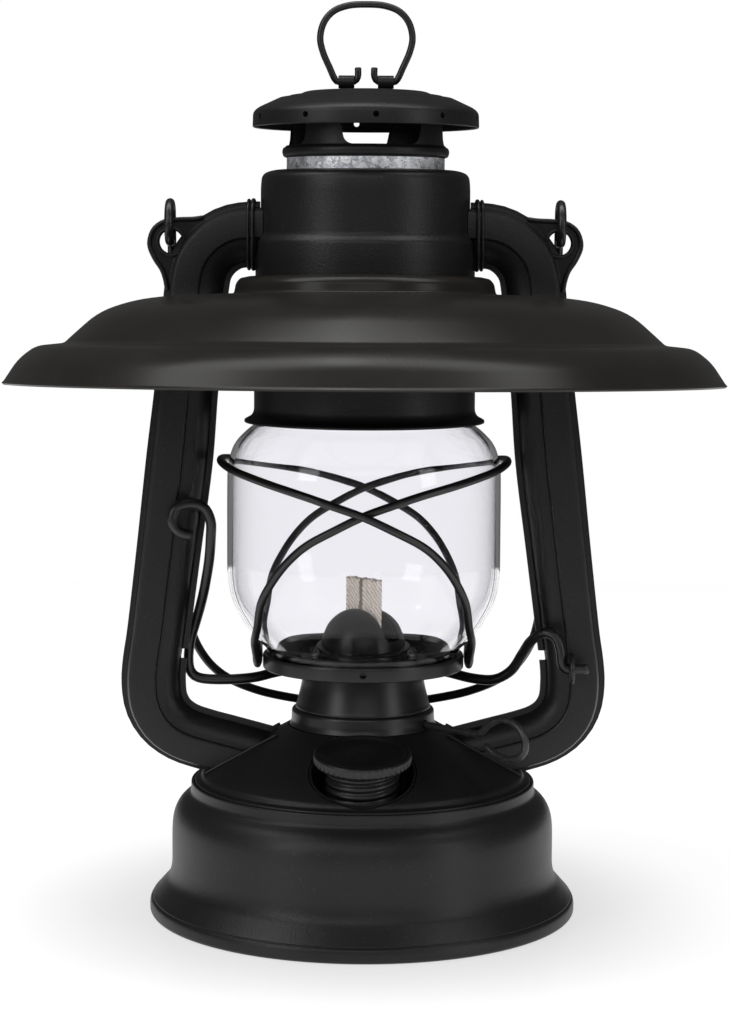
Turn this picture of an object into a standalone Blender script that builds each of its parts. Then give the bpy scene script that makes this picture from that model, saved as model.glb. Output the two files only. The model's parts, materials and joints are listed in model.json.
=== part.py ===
"""Barn lantern: a cold-blast kerosene lantern with a reflector shade.

Metres, +Z up. The origin is the centre of the base on the ground, -Y is the front, where the
filler cap is, and +X is the side of the lever's eye. Sizes below are in millimetres.
"""
import math

import bmesh
import bpy
from mathutils import Matrix, Vector

MM = 0.001

# Driving dimensions, in millimetres
BASE_RADIUS = 67.0
TANK_RADIUS = 59.3
LIP_RADIUS = 52.6
LIP_HEIGHT = 42.9
COLLAR_RADIUS = 22.4
BELL_RADIUS = 33.95
CHIMNEY_RADIUS = 24.35
HOOD_RADIUS = 35.2
GLOBE_RADIUS = 42.7
PLATE_RADIUS = 31.5
SHADE_RADIUS = 111.8
SHADE_RIM_HEIGHT = 165.6
SHADE_TIP = math.radians(1.5)
SHADE_BORE = 37.6
SHEET = 0.8
THIN_SHEET = 0.6
GAP = 0.3

# Sides of the turned pieces
WIDE_STEPS = 20
NARROW_STEPS = 16
SHADE_STEPS = 28

# Wires
LEVER_WIRE = 1.6
BAIL_WIRE = 1.4
GUARD_WIRE = 1.25
RING_WIRE = 1.05
SHAFT_WIRE = 1.1
SPRING_WIRE = 0.6

# Joint positions
LEVER_PIVOT = (64.4, -14.3, 78.9)
BAIL_PIVOT = (0.0, 0.0, 209.7)
RING_PIVOT = (0.0, 0.0, 258.75)
EAR_HOLE = (60.0, 209.7)
EAR_HOLE_RADIUS = 3.9
FILLER_FOOT = (0.0, -35.5, 43.7)
FILLER_TILT = math.radians(10.0)
WICK_TURN = math.radians(-45.0)
SHAFT_OFFSET = 5.5
SHAFT_HEIGHT = 60.8
WHEEL_RADIUS = 4.2

# The air tube's centre line on the +X side: distance from the axis, height, width over the seams
TUBE_LINE = (
    (26.0, 212.0, 20.2), (36.0, 212.0, 20.2), (42.1, 210.8, 20.0), (47.3, 207.3, 20.0),
    (50.8, 202.1, 20.0), (52.2, 195.0, 19.9), (53.6, 181.0, 19.7), (55.4, 164.0, 19.8),
    (57.6, 142.0, 20.8), (60.8, 115.5, 20.2), (64.1, 89.0, 19.8), (65.5, 79.0, 20.0),
    (65.9, 72.0, 20.2), (65.0, 65.3, 20.0), (61.8, 59.8, 19.6), (56.6, 56.0, 19.3),
    (50.0, 53.7, 19.2), (42.5, 51.7, 19.2), (32.0, 48.9, 19.2), (20.0, 45.7, 19.2),
)
# Half of its pressed section between the seam flanges: distance across from the inner flange,
# and height off the seam plane
FLANGE_WIDTH = 2.2
TUBE_BULGE = ((0.4, 4.2), (4.2, 8.6), (12.0, 8.3), (15.3, 3.2))

# Half of the reflector's outline from the bore out: radius, height over its rim
SHADE_OUTLINE = (
    (SHADE_BORE, 33.0), (40.9, 32.2), (41.8, 28.6), (60.3, 28.4), (72.0, 26.3), (83.0, 21.5),
    (91.0, 14.3), (93.5, 12.2), (101.5, 11.4), (109.6, 3.2), (SHADE_RADIUS, 0.0),
)


def clear_scene():
    for obj in list(bpy.data.objects):
        bpy.data.objects.remove(obj)


def new_collection(name):
    collection = bpy.data.collections.new(name)
    bpy.context.scene.collection.children.link(collection)
    return collection


def finish(name, colour, roughness, metallic=0.0, transmission=0.0):
    material = bpy.data.materials.new(name)
    material.use_nodes = True
    shader = material.node_tree.nodes["Principled BSDF"]
    shader.inputs["Base Color"].default_value = (*colour, 1.0)
    shader.inputs["Roughness"].default_value = roughness
    shader.inputs["Metallic"].default_value = metallic
    shader.inputs["Transmission Weight"].default_value = transmission
    material.diffuse_color = (*colour, 1.0)
    return material


def joint_empty(name, place=(0.0, 0.0, 0.0), rotation=None, parent=None):
    """An empty on a joint's axis; the pieces of the moving body are its children."""
    empty = bpy.data.objects.new(name, None)
    PARTS.objects.link(empty)
    world = Matrix.Translation(Vector(place) * MM)
    if rotation:
        world = world @ rotation
    empty.parent = parent
    empty.matrix_world = world
    bpy.context.view_layer.update()
    return empty


def add(name, data, material, frame=None, matrix=None):
    """Link a new object under its joint's empty, or free of any, with one material."""
    obj = bpy.data.objects.new(name, data)
    data.materials.append(material)
    PARTS.objects.link(obj)
    obj.parent = frame
    if matrix:
        obj.matrix_local = matrix
    return obj


def turned(name, profile, material, steps=WIDE_STEPS, frame=None, on_axis=False, matrix=None):
    """Spin a profile of (radius, height) points about Z: down its outer side, up its inner."""
    mesh = bpy.data.meshes.new(name)
    edges = [(i, i + 1) for i in range(len(profile) - 1)]
    if not on_axis:
        edges.append((len(profile) - 1, 0))
    mesh.from_pydata([Vector((r, 0.0, z)) * MM for r, z in profile], edges, [])
    obj = add(name, mesh, material, frame, matrix)
    screw = obj.modifiers.new("Spin", "SCREW")
    screw.steps = screw.render_steps = steps
    screw.use_merge_vertices = True
    screw.merge_threshold = 0.00001
    screw.use_smooth_shade = True
    return obj


def sheet_profile(outer, thickness):
    """Close an outer outline into a thin sheet by stepping inwards along its normals."""
    inner = []
    for i, (r, z) in enumerate(outer):
        before = Vector(outer[max(i - 1, 0)])
        after = Vector(outer[min(i + 1, len(outer) - 1)])
        along_in = (Vector((r, z)) - before).normalized() if i else None
        along_out = (after - Vector((r, z))).normalized() if i < len(outer) - 1 else None
        along_in = along_in or along_out
        along_out = along_out or along_in
        along = (along_in + along_out).normalized()
        normal = Vector((along.y, -along.x))
        spread = max(along.dot(along_in), 0.5)
        inner.append((r + normal.x * thickness / spread, z + normal.y * thickness / spread))
    return list(outer) + inner[::-1]


def smooth_line(points, spacing, closed=False):
    """Points at an even spacing along a smooth curve through the given ones."""
    route = [Vector(p) for p in points]
    count = len(route)
    fine = []
    for i in range(count if closed else count - 1):
        if closed:
            p0, p1, p2, p3 = (route[(i + k) % count] for k in (-1, 0, 1, 2))
        else:
            p1, p2 = route[i], route[i + 1]
            p0 = route[i - 1] if i else p1 * 2 - p2
            p3 = route[i + 2] if i + 2 < count else p2 * 2 - p1
        for k in range(12):
            t = k / 12
            fine.append(0.5 * (2 * p1 + (p2 - p0) * t + (2 * p0 - 5 * p1 + 4 * p2 - p3) * t ** 2
                               + (3 * p1 - p0 - 3 * p2 + p3) * t ** 3))
    fine.append(route[0].copy() if closed else route[-1])
    lengths = [0.0]
    for a, b in zip(fine, fine[1:]):
        lengths.append(lengths[-1] + (b - a).length)
    steps = max(2, round(lengths[-1] / spacing))
    even = []
    k = 0
    for i in range(steps + 1):
        target = lengths[-1] * i / steps
        while k < len(fine) - 2 and lengths[k + 1] < target:
            k += 1
        share = (target - lengths[k]) / max(lengths[k + 1] - lengths[k], 1e-9)
        even.append(fine[k].lerp(fine[k + 1], share))
    return even[:-1] if closed else even


def wire(name, route, radius, material, frame=None, spacing=5.0, closed=False):
    """A round wire along a smooth line through the route's points, all in world millimetres."""
    curve = bpy.data.curves.new(name, "CURVE")
    curve.dimensions = "3D"
    curve.bevel_depth = radius * MM
    curve.bevel_resolution = 2
    curve.use_fill_caps = True
    points = smooth_line(route, spacing, closed)
    spline = curve.splines.new("POLY")
    spline.points.add(len(points) - 1)
    into = frame.matrix_world.inverted() if frame else Matrix.Identity(4)
    for target, point in zip(spline.points, points):
        target.co = (*(into @ (point * MM)), 1.0)
    spline.use_cyclic_u = closed
    return add(name, curve, material, frame)


def plate(name, outline, holes, thickness, material, frame=None, matrix=None):
    """A flat plate cut to an outline with holes in it, as a filled 2D curve in its local XY."""
    curve = bpy.data.curves.new(name, "CURVE")
    curve.dimensions = "2D"
    curve.fill_mode = "BOTH"
    curve.extrude = thickness / 2 * MM
    for loop in (outline, *holes):
        spline = curve.splines.new("POLY")
        spline.points.add(len(loop) - 1)
        for target, (x, y) in zip(spline.points, loop):
            target.co = (x * MM, y * MM, 0.0, 1.0)
        spline.use_cyclic_u = True
    return add(name, curve, material, frame, matrix)


def circle(radius, count, centre=(0.0, 0.0)):
    turn = math.tau / count
    return [(centre[0] + radius * math.cos(i * turn), centre[1] + radius * math.sin(i * turn))
            for i in range(count)]


def as_tool(obj):
    """Keep an object as a hidden cutter or joining tool."""
    PARTS.objects.unlink(obj)
    CUTTERS.objects.link(obj)
    obj.hide_render = True
    obj.display_type = "WIRE"
    return obj


def cutter_mesh(name, bm):
    mesh = bpy.data.meshes.new(name)
    bm.to_mesh(mesh)
    bm.free()
    return as_tool(add(name, mesh, BLACK))


def box_cutter(name, low, high, matrix=None):
    bm = bmesh.new()
    bmesh.ops.create_cube(bm, size=1.0)
    low, high = Vector(low), Vector(high)
    size = Matrix.Diagonal((*((high - low) * MM), 1.0))
    middle = Matrix.Translation((low + high) / 2 * MM)
    bmesh.ops.transform(bm, matrix=(matrix or Matrix.Identity(4)) @ middle @ size, verts=bm.verts)
    return cutter_mesh(name, bm)


def rod_cutter(name, radius, length, matrix, segments=16):
    bm = bmesh.new()
    bmesh.ops.create_cone(bm, cap_ends=True, segments=segments, radius1=radius * MM,
                          radius2=radius * MM, depth=length * MM, matrix=matrix)
    return cutter_mesh(name, bm)


def prism_tool(name, outline, near, far):
    """A prism of an outline given in X and Z, between two distances along Y."""
    bm = bmesh.new()
    face = bm.faces.new([bm.verts.new((x * MM, near * MM, z * MM)) for x, z in outline])
    grown = bmesh.ops.extrude_face_region(bm, geom=[face])["geom"]
    corners = [item for item in grown if isinstance(item, bmesh.types.BMVert)]
    bmesh.ops.translate(bm, vec=(0.0, (far - near) * MM, 0.0), verts=corners)
    bmesh.ops.recalc_face_normals(bm, faces=bm.faces)
    return cutter_mesh(name, bm)


def combine(obj, tool, operation="DIFFERENCE"):
    boolean = obj.modifiers.new(tool.name, "BOOLEAN")
    boolean.operation = operation
    boolean.object = tool


def make_tank():
    shell = (
        (LIP_RADIUS, LIP_HEIGHT), (LIP_RADIUS + 0.3, 40.6), (55.6, 37.6), (57.9, 33.6),
        (TANK_RADIUS, 28.0), (TANK_RADIUS, 13.6), (61.4, 9.4), (65.7, 5.3),
        (BASE_RADIUS, 3.0), (BASE_RADIUS, 0.6), (66.4, 0.0), (61.5, 0.0), (61.5, SHEET),
        (66.1, SHEET), (66.1, 3.0), (65.0, 4.6), (60.7, 8.9), (58.5, 13.4), (58.5, 27.9),
        (57.1, 33.2), (55.0, 37.0), (52.0, 40.2), (LIP_RADIUS - SHEET, LIP_HEIGHT),
    )
    turned("tank_shell", shell, BLACK)
    bottom = ((0.0, 3.8), (56.0, 3.8), (59.5, 2.0), (65.4, 2.0), (65.4, 1.15), (59.0, 1.15),
              (55.5, 3.0), (0.0, 3.0))
    turned("tank_bottom", bottom, BLACK, WIDE_STEPS, on_axis=True)

    top = sheet_profile(((23.4, 58.9), (26.0, 57.5), (30.0, 55.5), (38.0, 51.4), (46.0, 46.9),
                         (50.2, 44.5), (51.3, 43.2), (51.3, 39.6)), SHEET)
    tank_top = turned("tank_top", top, BLACK)
    combine(tank_top, FILLER_WELL)

    floor = ((20.5, 35.4), (49.0, 36.4), (50.2, 38.8), (50.2, 36.4), (49.3, 35.6), (20.5, 34.6))
    air_floor = turned("air_chamber_floor", floor, ZINC)
    combine(air_floor, FILLER_PIPE)


def make_filler():
    """The well, the threaded neck, its seal and the cap, all on one axis leaning forwards."""
    well = (
        (16.5, 13.0), (13.4, -SHEET), (10.9, -SHEET), (10.9, -12.0), (9.6, -12.0), (9.6, 11.0),
        (11.0, 11.0), (11.0, 0.0), (12.8, 0.0), (15.9, 13.0),
    )
    neck = turned("filler_neck", well, BLACK, NARROW_STEPS, FILLER_FRAME)
    combine(neck, OVER_TANK)
    ring = ((11.0, 12.0), (11.0, 11.3), (9.9, 11.3), (9.9, 12.0))
    turned("filler_seal", ring, CORK, NARROW_STEPS, FILLER_LIFT)
    cap = (
        (0.0, 13.0), (12.2, 13.0), (13.2, 13.8), (14.4, 13.7), (14.8, 13.1), (14.8, 9.8),
        (11.4, 9.8), (11.4, 12.3), (0.0, 12.3),
    )
    turned("filler_cap", cap, BLACK, NARROW_STEPS, FILLER_TURN, on_axis=True)


def make_burner():
    collar = (
        (14.3, 77.2), (18.4, 77.1), (18.9, 75.6), (19.4, 71.5), (20.9, 65.4), (21.3, 64.7),
        (COLLAR_RADIUS, 64.2), (COLLAR_RADIUS, 58.6), (21.8, 58.6), (21.8, 63.6), (20.6, 64.2),
        (20.3, 65.2), (18.8, 71.4), (18.3, 75.4), (18.0, 76.5), (14.3, 76.6),
    )
    burner_collar = turned("burner_collar", collar, BLACK)
    combine(burner_collar, SHAFT_HOLE)

    body = (
        (9.4, 83.1), (13.4, 83.1), (13.4, 70.0), (17.6, 69.2), (17.6, 68.5), (12.8, 69.2),
        (12.8, 82.5), (9.4, 82.5),
    )
    turned("burner_body", body, BLACK, NARROW_STEPS)

    foot, crown = 83.9, 11.9
    outer_radius, inner_radius = 13.1, 12.45
    rises = [math.radians(a) for a in (90, 72, 54, 36, 18, 4)]
    skin = [(outer_radius * math.cos(a), foot + crown * math.sin(a)) for a in rises]
    lining = [(inner_radius * math.cos(a), foot + (crown - THIN_SHEET) * math.sin(a))
              for a in reversed(rises)]
    profile = skin + [(14.8, 84.0), (14.8, 83.4), (12.4, 83.4)] + lining
    dome = turned("burner_dome", profile, BLACK, WIDE_STEPS, on_axis=True)
    slot = box_cutter("dome_slot_cutter", (-16.0, -3.4, 86.2), (16.0, 3.4, 100.0), WICK_MATRIX)
    combine(dome, slot)

    bm = bmesh.new()
    tube_size = Matrix.Diagonal((17.0 * MM, 4.6 * MM, 38.0 * MM, 1.0))
    bmesh.ops.create_cube(bm, size=1.0,
                          matrix=Matrix.Translation((0.0, 0.0, 67.0 * MM)) @ tube_size)
    ends = [face for face in bm.faces if abs(face.normal.z) > 0.9]
    bmesh.ops.delete(bm, geom=ends, context="FACES_ONLY")
    mesh = bpy.data.meshes.new("wick_tube")
    bm.to_mesh(mesh)
    bm.free()
    wick_tube = add("wick_tube", mesh, ZINC, matrix=WICK_MATRIX)
    wall = wick_tube.modifiers.new("Wall", "SOLIDIFY")
    wall.thickness = 0.55 * MM
    wall.offset = -1.0
    wall.use_even_offset = True
    gear_slot = box_cutter("gear_slot_cutter", (-5.2, 1.0, SHAFT_HEIGHT - 4.4),
                           (5.2, 4.0, SHAFT_HEIGHT + 4.4), WICK_MATRIX)
    combine(wick_tube, gear_slot)

    bm = bmesh.new()
    bmesh.ops.create_cube(bm, size=1.0, matrix=Matrix.Translation((0.0, 0.0, 58.6 * MM))
                          @ Matrix.Diagonal((15.0 * MM, 2.0 * MM, 93.6 * MM, 1.0)))
    mesh = bpy.data.meshes.new("wick")
    bm.to_mesh(mesh)
    bm.free()
    add("wick", mesh, COTTON, WICK_SLIDE, WICK_MATRIX)


def make_wick_winder():
    """The spindle with its wire loop and the two spur wheels that feed the wick."""
    route = (
        (-9.0, 0.0), (6.0, 0.0), (22.0, 0.0), (38.0, 0.0), (44.6, 0.3), (48.6, 3.6), (53.6, 6.0),
        (59.4, 5.2), (63.2, 1.2), (62.6, -3.2), (57.8, -5.6), (51.8, -5.2), (47.4, -3.0),
    )
    turn = WICK_FRAME.matrix_world
    points = [turn @ (Vector((s, 0.0, h)) * MM) / MM for s, h in route]
    wire("wick_knob", points, SHAFT_WIRE, STEEL, WICK_FRAME, spacing=4.0)
    teeth = 10
    outline = []
    for i in range(teeth * 2):
        radius = WHEEL_RADIUS if i % 2 else WHEEL_RADIUS - 0.9
        angle = math.tau * i / (teeth * 2)
        outline.append((radius * math.cos(angle), radius * math.sin(angle)))
    bore = circle(SHAFT_WIRE + GAP, 10)
    for number, offset in enumerate((-3.2, 3.2), 1):
        stand = Matrix.Translation((offset * MM, 0.0, 0.0)) @ Matrix.Rotation(math.pi / 2, 4, "Y")
        plate(f"spur_wheel_{number}", outline, [bore], 1.2, STEEL, WICK_FRAME, stand)


def tube_section(width):
    """Half of the tube's pressed section, as (across, off the seam plane) round one sheet."""
    half = width / 2
    start = -half + FLANGE_WIDTH
    stretch = (width - 2 * FLANGE_WIDTH) / TUBE_BULGE[-1][0]
    outer = [(-half, GAP / 2 + SHEET), (start, GAP / 2 + SHEET)]
    outer += [(start + u * stretch, v) for u, v in TUBE_BULGE]
    outer += [(half - FLANGE_WIDTH, GAP / 2 + SHEET), (half, GAP / 2 + SHEET)]
    inner = [(half, GAP / 2), (half - FLANGE_WIDTH - 0.5, GAP / 2)]
    inset = SHEET / 8
    for u, v in reversed(TUBE_BULGE):
        across = start + u * stretch
        inner.append((across * (1 - inset) + 0.05, v - SHEET * (0.5 if v < 4 else 1.0)))
    inner += [(start + 0.5, GAP / 2), (-half, GAP / 2)]
    return outer + inner


def tube_half(name, side, face):
    """One pressing of an air tube; side is +1 on the right, face is -1 for the front one."""
    line = [Vector((x, 0.0, z)) for x, z, _ in TUBE_LINE]
    bm = bmesh.new()
    rings = []
    for i, (centre, (_, _, width)) in enumerate(zip(line, TUBE_LINE)):
        ahead = line[min(i + 1, len(line) - 1)] - line[max(i - 1, 0)]
        across = Vector((-ahead.z, 0.0, ahead.x)).normalized()
        ring = []
        for u, v in tube_section(width):
            point = centre + across * u + Vector((0.0, face * v, 0.0))
            ring.append(bm.verts.new((side * point.x * MM, point.y * MM, point.z * MM)))
        rings.append(ring)
    for first, second in zip(rings, rings[1:]):
        for k in range(len(first)):
            n = (k + 1) % len(first)
            bm.faces.new((first[k], first[n], second[n], second[k]))
    for end in (rings[0], rings[-1]):
        bm.faces.new(end)
    bmesh.ops.recalc_face_normals(bm, faces=bm.faces)
    mesh = bpy.data.meshes.new(name)
    bm.to_mesh(mesh)
    bm.free()
    half = add(name, mesh, BLACK)

    ear = ((50.0, 217.5), (53.5, 216.8), (58.3, 216.6), (63.0, 215.8), (66.2, 213.2),
           (66.9, 209.8), (66.2, 206.6), (64.0, 203.2), (62.4, 200.0), (61.9, 196.0),
           (60.6, 196.2), (60.2, 201.5), (57.8, 208.0), (54.5, 212.9), (50.6, 216.0))
    outline = [(side * x, z) for x, z in ear]
    layer = prism_tool(name + "_ear", outline, face * (GAP / 2 - 0.03), face * (SHEET + 0.25))
    combine(half, layer, "UNION")
    combine(half, EAR_BORES[side])
    combine(half, NOTCHES[side])
    combine(half, OVER_TANK_BODY)
    combine(half, BELL_BODY)
    return half


def make_tubes():
    for side, label in ((-1, "left"), (1, "right")):
        for face, layer in ((-1, "front"), (1, "back")):
            tube_half(f"{label}_tube_{layer}", side, face)
        ring = [(side * 35.6, 11.0 * math.cos(math.tau * i / 12),
                 212.0 + 12.3 * math.sin(math.tau * i / 12)) for i in range(12)]
        wire(f"{label}_tube_socket", ring, 1.1, BLACK, spacing=5.0, closed=True)


def make_bell():
    bell = (
        (24.9, 231.9), (28.6, 231.7), (31.4, 230.2), (32.3, 227.0), (32.3, 212.6),
        (BELL_RADIUS, 211.0), (BELL_RADIUS, 197.7), (33.15, 197.7), (33.15, 210.6),
        (31.5, 212.2), (31.5, 226.8), (30.7, 229.6), (28.4, 230.9), (24.9, 231.1),
    )
    chamber = turned("bell", bell, BLACK)
    quarter = Matrix.Rotation(math.pi / 2, 4, "Y")
    ports = rod_cutter("tube_port_cutter", 6.5, 90.0,
                       Matrix.Translation((0.0, 0.0, 0.212)) @ quarter)
    combine(chamber, ports)
    skirt = (
        (33.2, 197.3), (37.4, 196.4), (39.0, 195.7), (39.4, 194.8), (39.4, 188.5),
        (38.7, 188.5), (38.7, 194.6), (38.4, 195.1), (37.2, 195.7), (33.2, 196.6),
    )
    turned("bell_skirt", skirt, BLACK)

    turns, per_turn = 3, 8
    low, high = 177.2, 229.6
    coil = []
    for i in range(turns * per_turn + 1):
        angle = math.tau * i / per_turn
        height = low + (high - low) * i / (turns * per_turn)
        coil.append((28.0 * math.cos(angle), 28.0 * math.sin(angle), height))
    wire("chimney_spring", coil, SPRING_WIRE, STEEL, spacing=21.0)


def make_globe_carriage():
    plate_ring = (
        (15.6, 82.2), (16.4, 82.2), (17.0, 80.9), (24.6, 80.6), (26.0, 83.4), (27.4, 83.8),
        (27.9, 83.0), (28.0, 79.9), (30.5, 79.9), (30.6, 81.6), (31.2, 81.6),
        (PLATE_RADIUS, 81.0), (PLATE_RADIUS, 77.2), (30.8, 77.2), (30.7, 79.1), (27.3, 79.1),
        (27.1, 82.6), (26.5, 82.6), (25.0, 79.8), (16.5, 80.0), (15.6, 81.2),
    )
    turned("globe_plate", plate_ring, BLACK, WIDE_STEPS, CARRIAGE)
    glass = (
        (33.0, 158.0), (34.0, 155.4), (36.4, 153.0), (40.4, 145.0), (GLOBE_RADIUS, 133.5),
        (GLOBE_RADIUS, 105.4), (41.3, 99.5), (35.9, 89.4), (30.2, 83.0), (30.0, 80.4),
        (28.4, 80.4), (28.6, 83.6), (34.4, 90.4), (39.6, 100.0), (40.9, 105.6),
        (40.9, 133.3), (38.8, 144.2), (34.9, 151.8), (32.4, 154.6), (31.4, 158.0),
    )
    turned("globe", glass, GLASS, WIDE_STEPS, CARRIAGE)

    for side, label in ((-1, "left"), (1, "right")):
        lay = Matrix.Translation((side * 33.4 * MM, 0.0, 80.9 * MM))
        lay = lay @ Matrix.Rotation(math.pi / 2, 4, "Y")
        tab = ((0.0, 1.4), (2.6, 1.4), (4.2, 0.9), (4.4, 0.0), (4.2, -0.9), (2.6, -1.4),
               (0.0, -1.4))
        turned(f"guard_tab_{label}", tab, BLACK, 12, CARRIAGE, on_axis=True, matrix=lay)

    stations = (
        (9.5, 33.4, 79.4), (16.0, 34.6, 82.5), (26.0, 37.2, 87.5), (37.0, 40.4, 93.0),
        (46.0, 44.2, 101.8), (53.0, 44.8, 109.0), (60.0, 45.0, 115.0), (68.0, 45.0, 120.2),
        (79.0, 44.9, 125.0), (90.0, 44.8, 129.3), (101.0, 44.8, 132.4), (112.0, 44.8, 135.0),
        (129.0, 44.8, 137.8), (150.0, 44.7, 140.3), (166.0, 44.7, 141.8),
    )
    for side, label in ((-1, "left"), (1, "right")):
        half = []
        for angle, radius, height in stations:
            # the right hoop passes outside the left one where they cross
            if side > 0:
                radius += 2.9 * max(0.0, math.cos(math.radians(min(90.0, abs(angle - 90) * 2))))
            turn = math.radians(angle)
            half.append((side * radius * math.cos(turn), -radius * math.sin(turn), height))
        back = [(x, -y, z) for x, y, z in reversed(half)]
        hoop = half + [(-side * 44.7, 0.0, 142.3)] + back
        wire(f"guard_hoop_{label}", hoop, GUARD_WIRE, BLACK, CARRIAGE, spacing=9.5)


def make_hood():
    cap = (
        (24.75, 176.0), (32.0, 175.8), (33.9, 174.8), (34.35, 173.0), (34.35, 157.4),
        (35.0, 156.2), (37.35, 154.9), (37.35, 154.2), (36.8, 154.2), (34.7, 155.6),
        (33.75, 157.2), (33.75, 172.9), (33.4, 174.3), (31.9, 175.2), (24.75, 175.4),
    )
    turned("globe_cap", cap, BLACK, WIDE_STEPS, HOOD)
    flue = ((CHIMNEY_RADIUS, 235.9), (CHIMNEY_RADIUS, 170.0), (CHIMNEY_RADIUS - THIN_SHEET, 170.0),
            (CHIMNEY_RADIUS - THIN_SHEET, 235.9))
    turned("chimney_tube", flue, ZINC, WIDE_STEPS, HOOD)

    vent = (
        (24.5, 252.8), (24.5, 240.2), (25.6, 239.2), (25.9, 238.0), (25.5, 236.6),
        (24.9, 236.2), (23.9, 236.2), (23.8, 239.9), (23.8, 252.8),
    )
    vent_ring = turned("vent_ring", vent, BLACK, WIDE_STEPS, HOOD)
    for number in range(4):
        turn = Matrix.Rotation(math.radians(11.5 + 90.0 * number), 4, "Z")
        window = box_cutter(f"vent_window_{number}", (-12.4, -30.0, 240.4), (12.4, -15.0, 247.6), turn)
        combine(vent_ring, window)

    dome = (
        (0.0, 256.5), (8.0, 256.3), (19.4, 255.6), (23.4, 254.3), (26.4, 253.9), (33.6, 250.9),
        (35.0, 249.8), (HOOD_RADIUS, 248.8), (HOOD_RADIUS, 246.0), (34.5, 245.9), (34.5, 248.6),
        (33.4, 250.1), (26.2, 253.1), (23.2, 253.6), (19.2, 254.9), (0.0, 255.7),
    )
    turned("hood", dome, BLACK, WIDE_STEPS, HOOD, on_axis=True)
    for side, label in ((-1, "left"), (1, "right")):
        lay = Matrix.Translation((side * 6.05 * MM, 0.0, RING_PIVOT[2] * MM))
        lay = lay @ Matrix.Rotation(math.pi / 2, 4, "Y")
        roll = ((2.0, 2.05), (2.0, -2.05), (1.4, -2.05), (1.4, 2.05))
        turned(f"ring_eye_{label}", roll, BLACK, 12, HOOD, matrix=lay)

    side_line = ((2.5, 262.9), (2.5, 260.7), (3.1, 259.3), (4.6, 258.75), (8.2, 258.75),
                 (9.6, 259.6), (11.3, 263.2), (13.3, 267.8), (14.15, 272.2), (13.0, 276.8),
                 (10.0, 280.2), (5.4, 281.9))
    right = [(x, 0.0, z) for x, z in side_line]
    left = [(-x, 0.0, z) for x, z in reversed(side_line)]
    wire("top_ring", right + [(0.0, 0.0, 282.25)] + left, RING_WIRE, BLACK, RING_FRAME,
         spacing=3.4)


def make_lever():
    route = (
        (-53.2, -12.6, 119.6), (-57.0, -12.8, 121.0), (-59.0, -12.8, 124.4),
        (-57.9, -12.4, 128.0), (-53.6, -11.8, 129.4), (-49.4, -11.0, 128.3),
        (-47.3, -10.4, 124.0), (-47.3, -9.4, 119.0), (-48.0, -6.8, 111.3),
        (-49.6, -3.0, 102.5), (-51.2, 0.8, 96.0), (-53.0, 3.6, 90.0), (-54.6, 5.0, 84.5),
        (-55.3, 5.6, 78.5), (-54.6, 6.0, 74.2), (-51.4, 6.3, 72.0), (-43.1, 6.6, 71.6),
        (-34.5, 8.6, 72.0), (-27.5, 13.0, 73.0), (-18.0, 19.8, 73.6), (-8.5, 22.8, 73.7),
        (0.0, 23.6, 73.7), (8.5, 22.8, 73.7), (18.0, 19.8, 73.6), (26.5, 13.6, 73.2),
        (34.8, 7.5, 72.2), (41.5, 3.4, 72.6), (46.6, 0.2, 76.0), (49.7, -3.2, 81.6),
        (52.2, -7.6, 86.6), (56.0, -11.6, 89.9), (59.6, -13.4, 88.6), (61.2, -14.2, 84.0),
        (61.4, -14.3, 80.8), (62.6, -14.3, 79.1), (65.5, -14.3, 78.9), (69.3, -14.3, 78.9),
    )
    wire("lift_lever", route, LEVER_WIRE, BLACK, LEVER_FRAME, spacing=7.4)
    stand = Matrix.Translation(Vector(LEVER_PIVOT) * MM) @ Matrix.Rotation(math.pi / 2, 4, "Y")
    plate("lever_eye", circle(5.2, 20), [circle(LEVER_WIRE + GAP + 0.05, 12)], 1.6, BLACK,
          matrix=stand)


def make_bail():
    arm = (
        (60.3, 3.4, 209.5), (60.3, 0.0, 209.6), (60.3, -3.4, 210.3), (60.3, -5.9, 213.2),
        (60.3, -6.0, 217.0), (60.3, -3.6, 220.5), (60.3, 0.6, 221.7), (60.3, 4.8, 219.9),
        (60.4, 7.2, 215.6), (60.4, 8.4, 209.0), (60.4, 10.0, 202.0), (60.3, 12.2, 193.0),
        (60.0, 13.6, 180.0), (59.4, 14.6, 160.0), (58.8, 15.8, 140.0), (57.8, 18.6, 108.0),
        (56.4, 22.0, 89.0), (52.8, 25.2, 77.8), (45.8, 28.6, 69.4), (34.6, 31.6, 63.8),
        (20.0, 33.6, 60.4), (8.0, 34.3, 58.9),
    )
    right = list(arm)
    left = [(-x, y, z) for x, y, z in reversed(arm)]
    wire("bail", right + [(0.0, 34.4, 58.7)] + left, BAIL_WIRE, BLACK, BAIL_FRAME, spacing=10.0)


def make_shade():
    shade = turned("shade", sheet_profile(SHADE_OUTLINE, 0.7), GLOSS, SHADE_STEPS, SHADE_FRAME)
    for side, label in ((-1, "left"), (1, "right")):
        low = (min(side * 30.0, side * 70.5), -11.6, 150.0)
        high = (max(side * 30.0, side * 70.5), 18.0, 230.0)
        combine(shade, box_cutter(f"shade_slot_{label}", low, high))


clear_scene()
PARTS = new_collection("barn_lantern")
CUTTERS = new_collection("cutters")

BLACK = finish("black_enamel", (0.020, 0.020, 0.021), 0.48)
GLOSS = finish("gloss_black_enamel", (0.020, 0.018, 0.016), 0.28)
ZINC = finish("galvanised_steel", (0.56, 0.60, 0.66), 0.38, 1.0)
STEEL = finish("blackened_steel", (0.05, 0.05, 0.055), 0.42, 0.6)
GLASS = finish("clear_glass", (0.95, 0.96, 0.98), 0.02, 0.0, 1.0)
COTTON = finish("cotton", (0.78, 0.70, 0.58), 0.9)
CORK = finish("cork", (0.42, 0.28, 0.16), 0.85)

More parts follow.
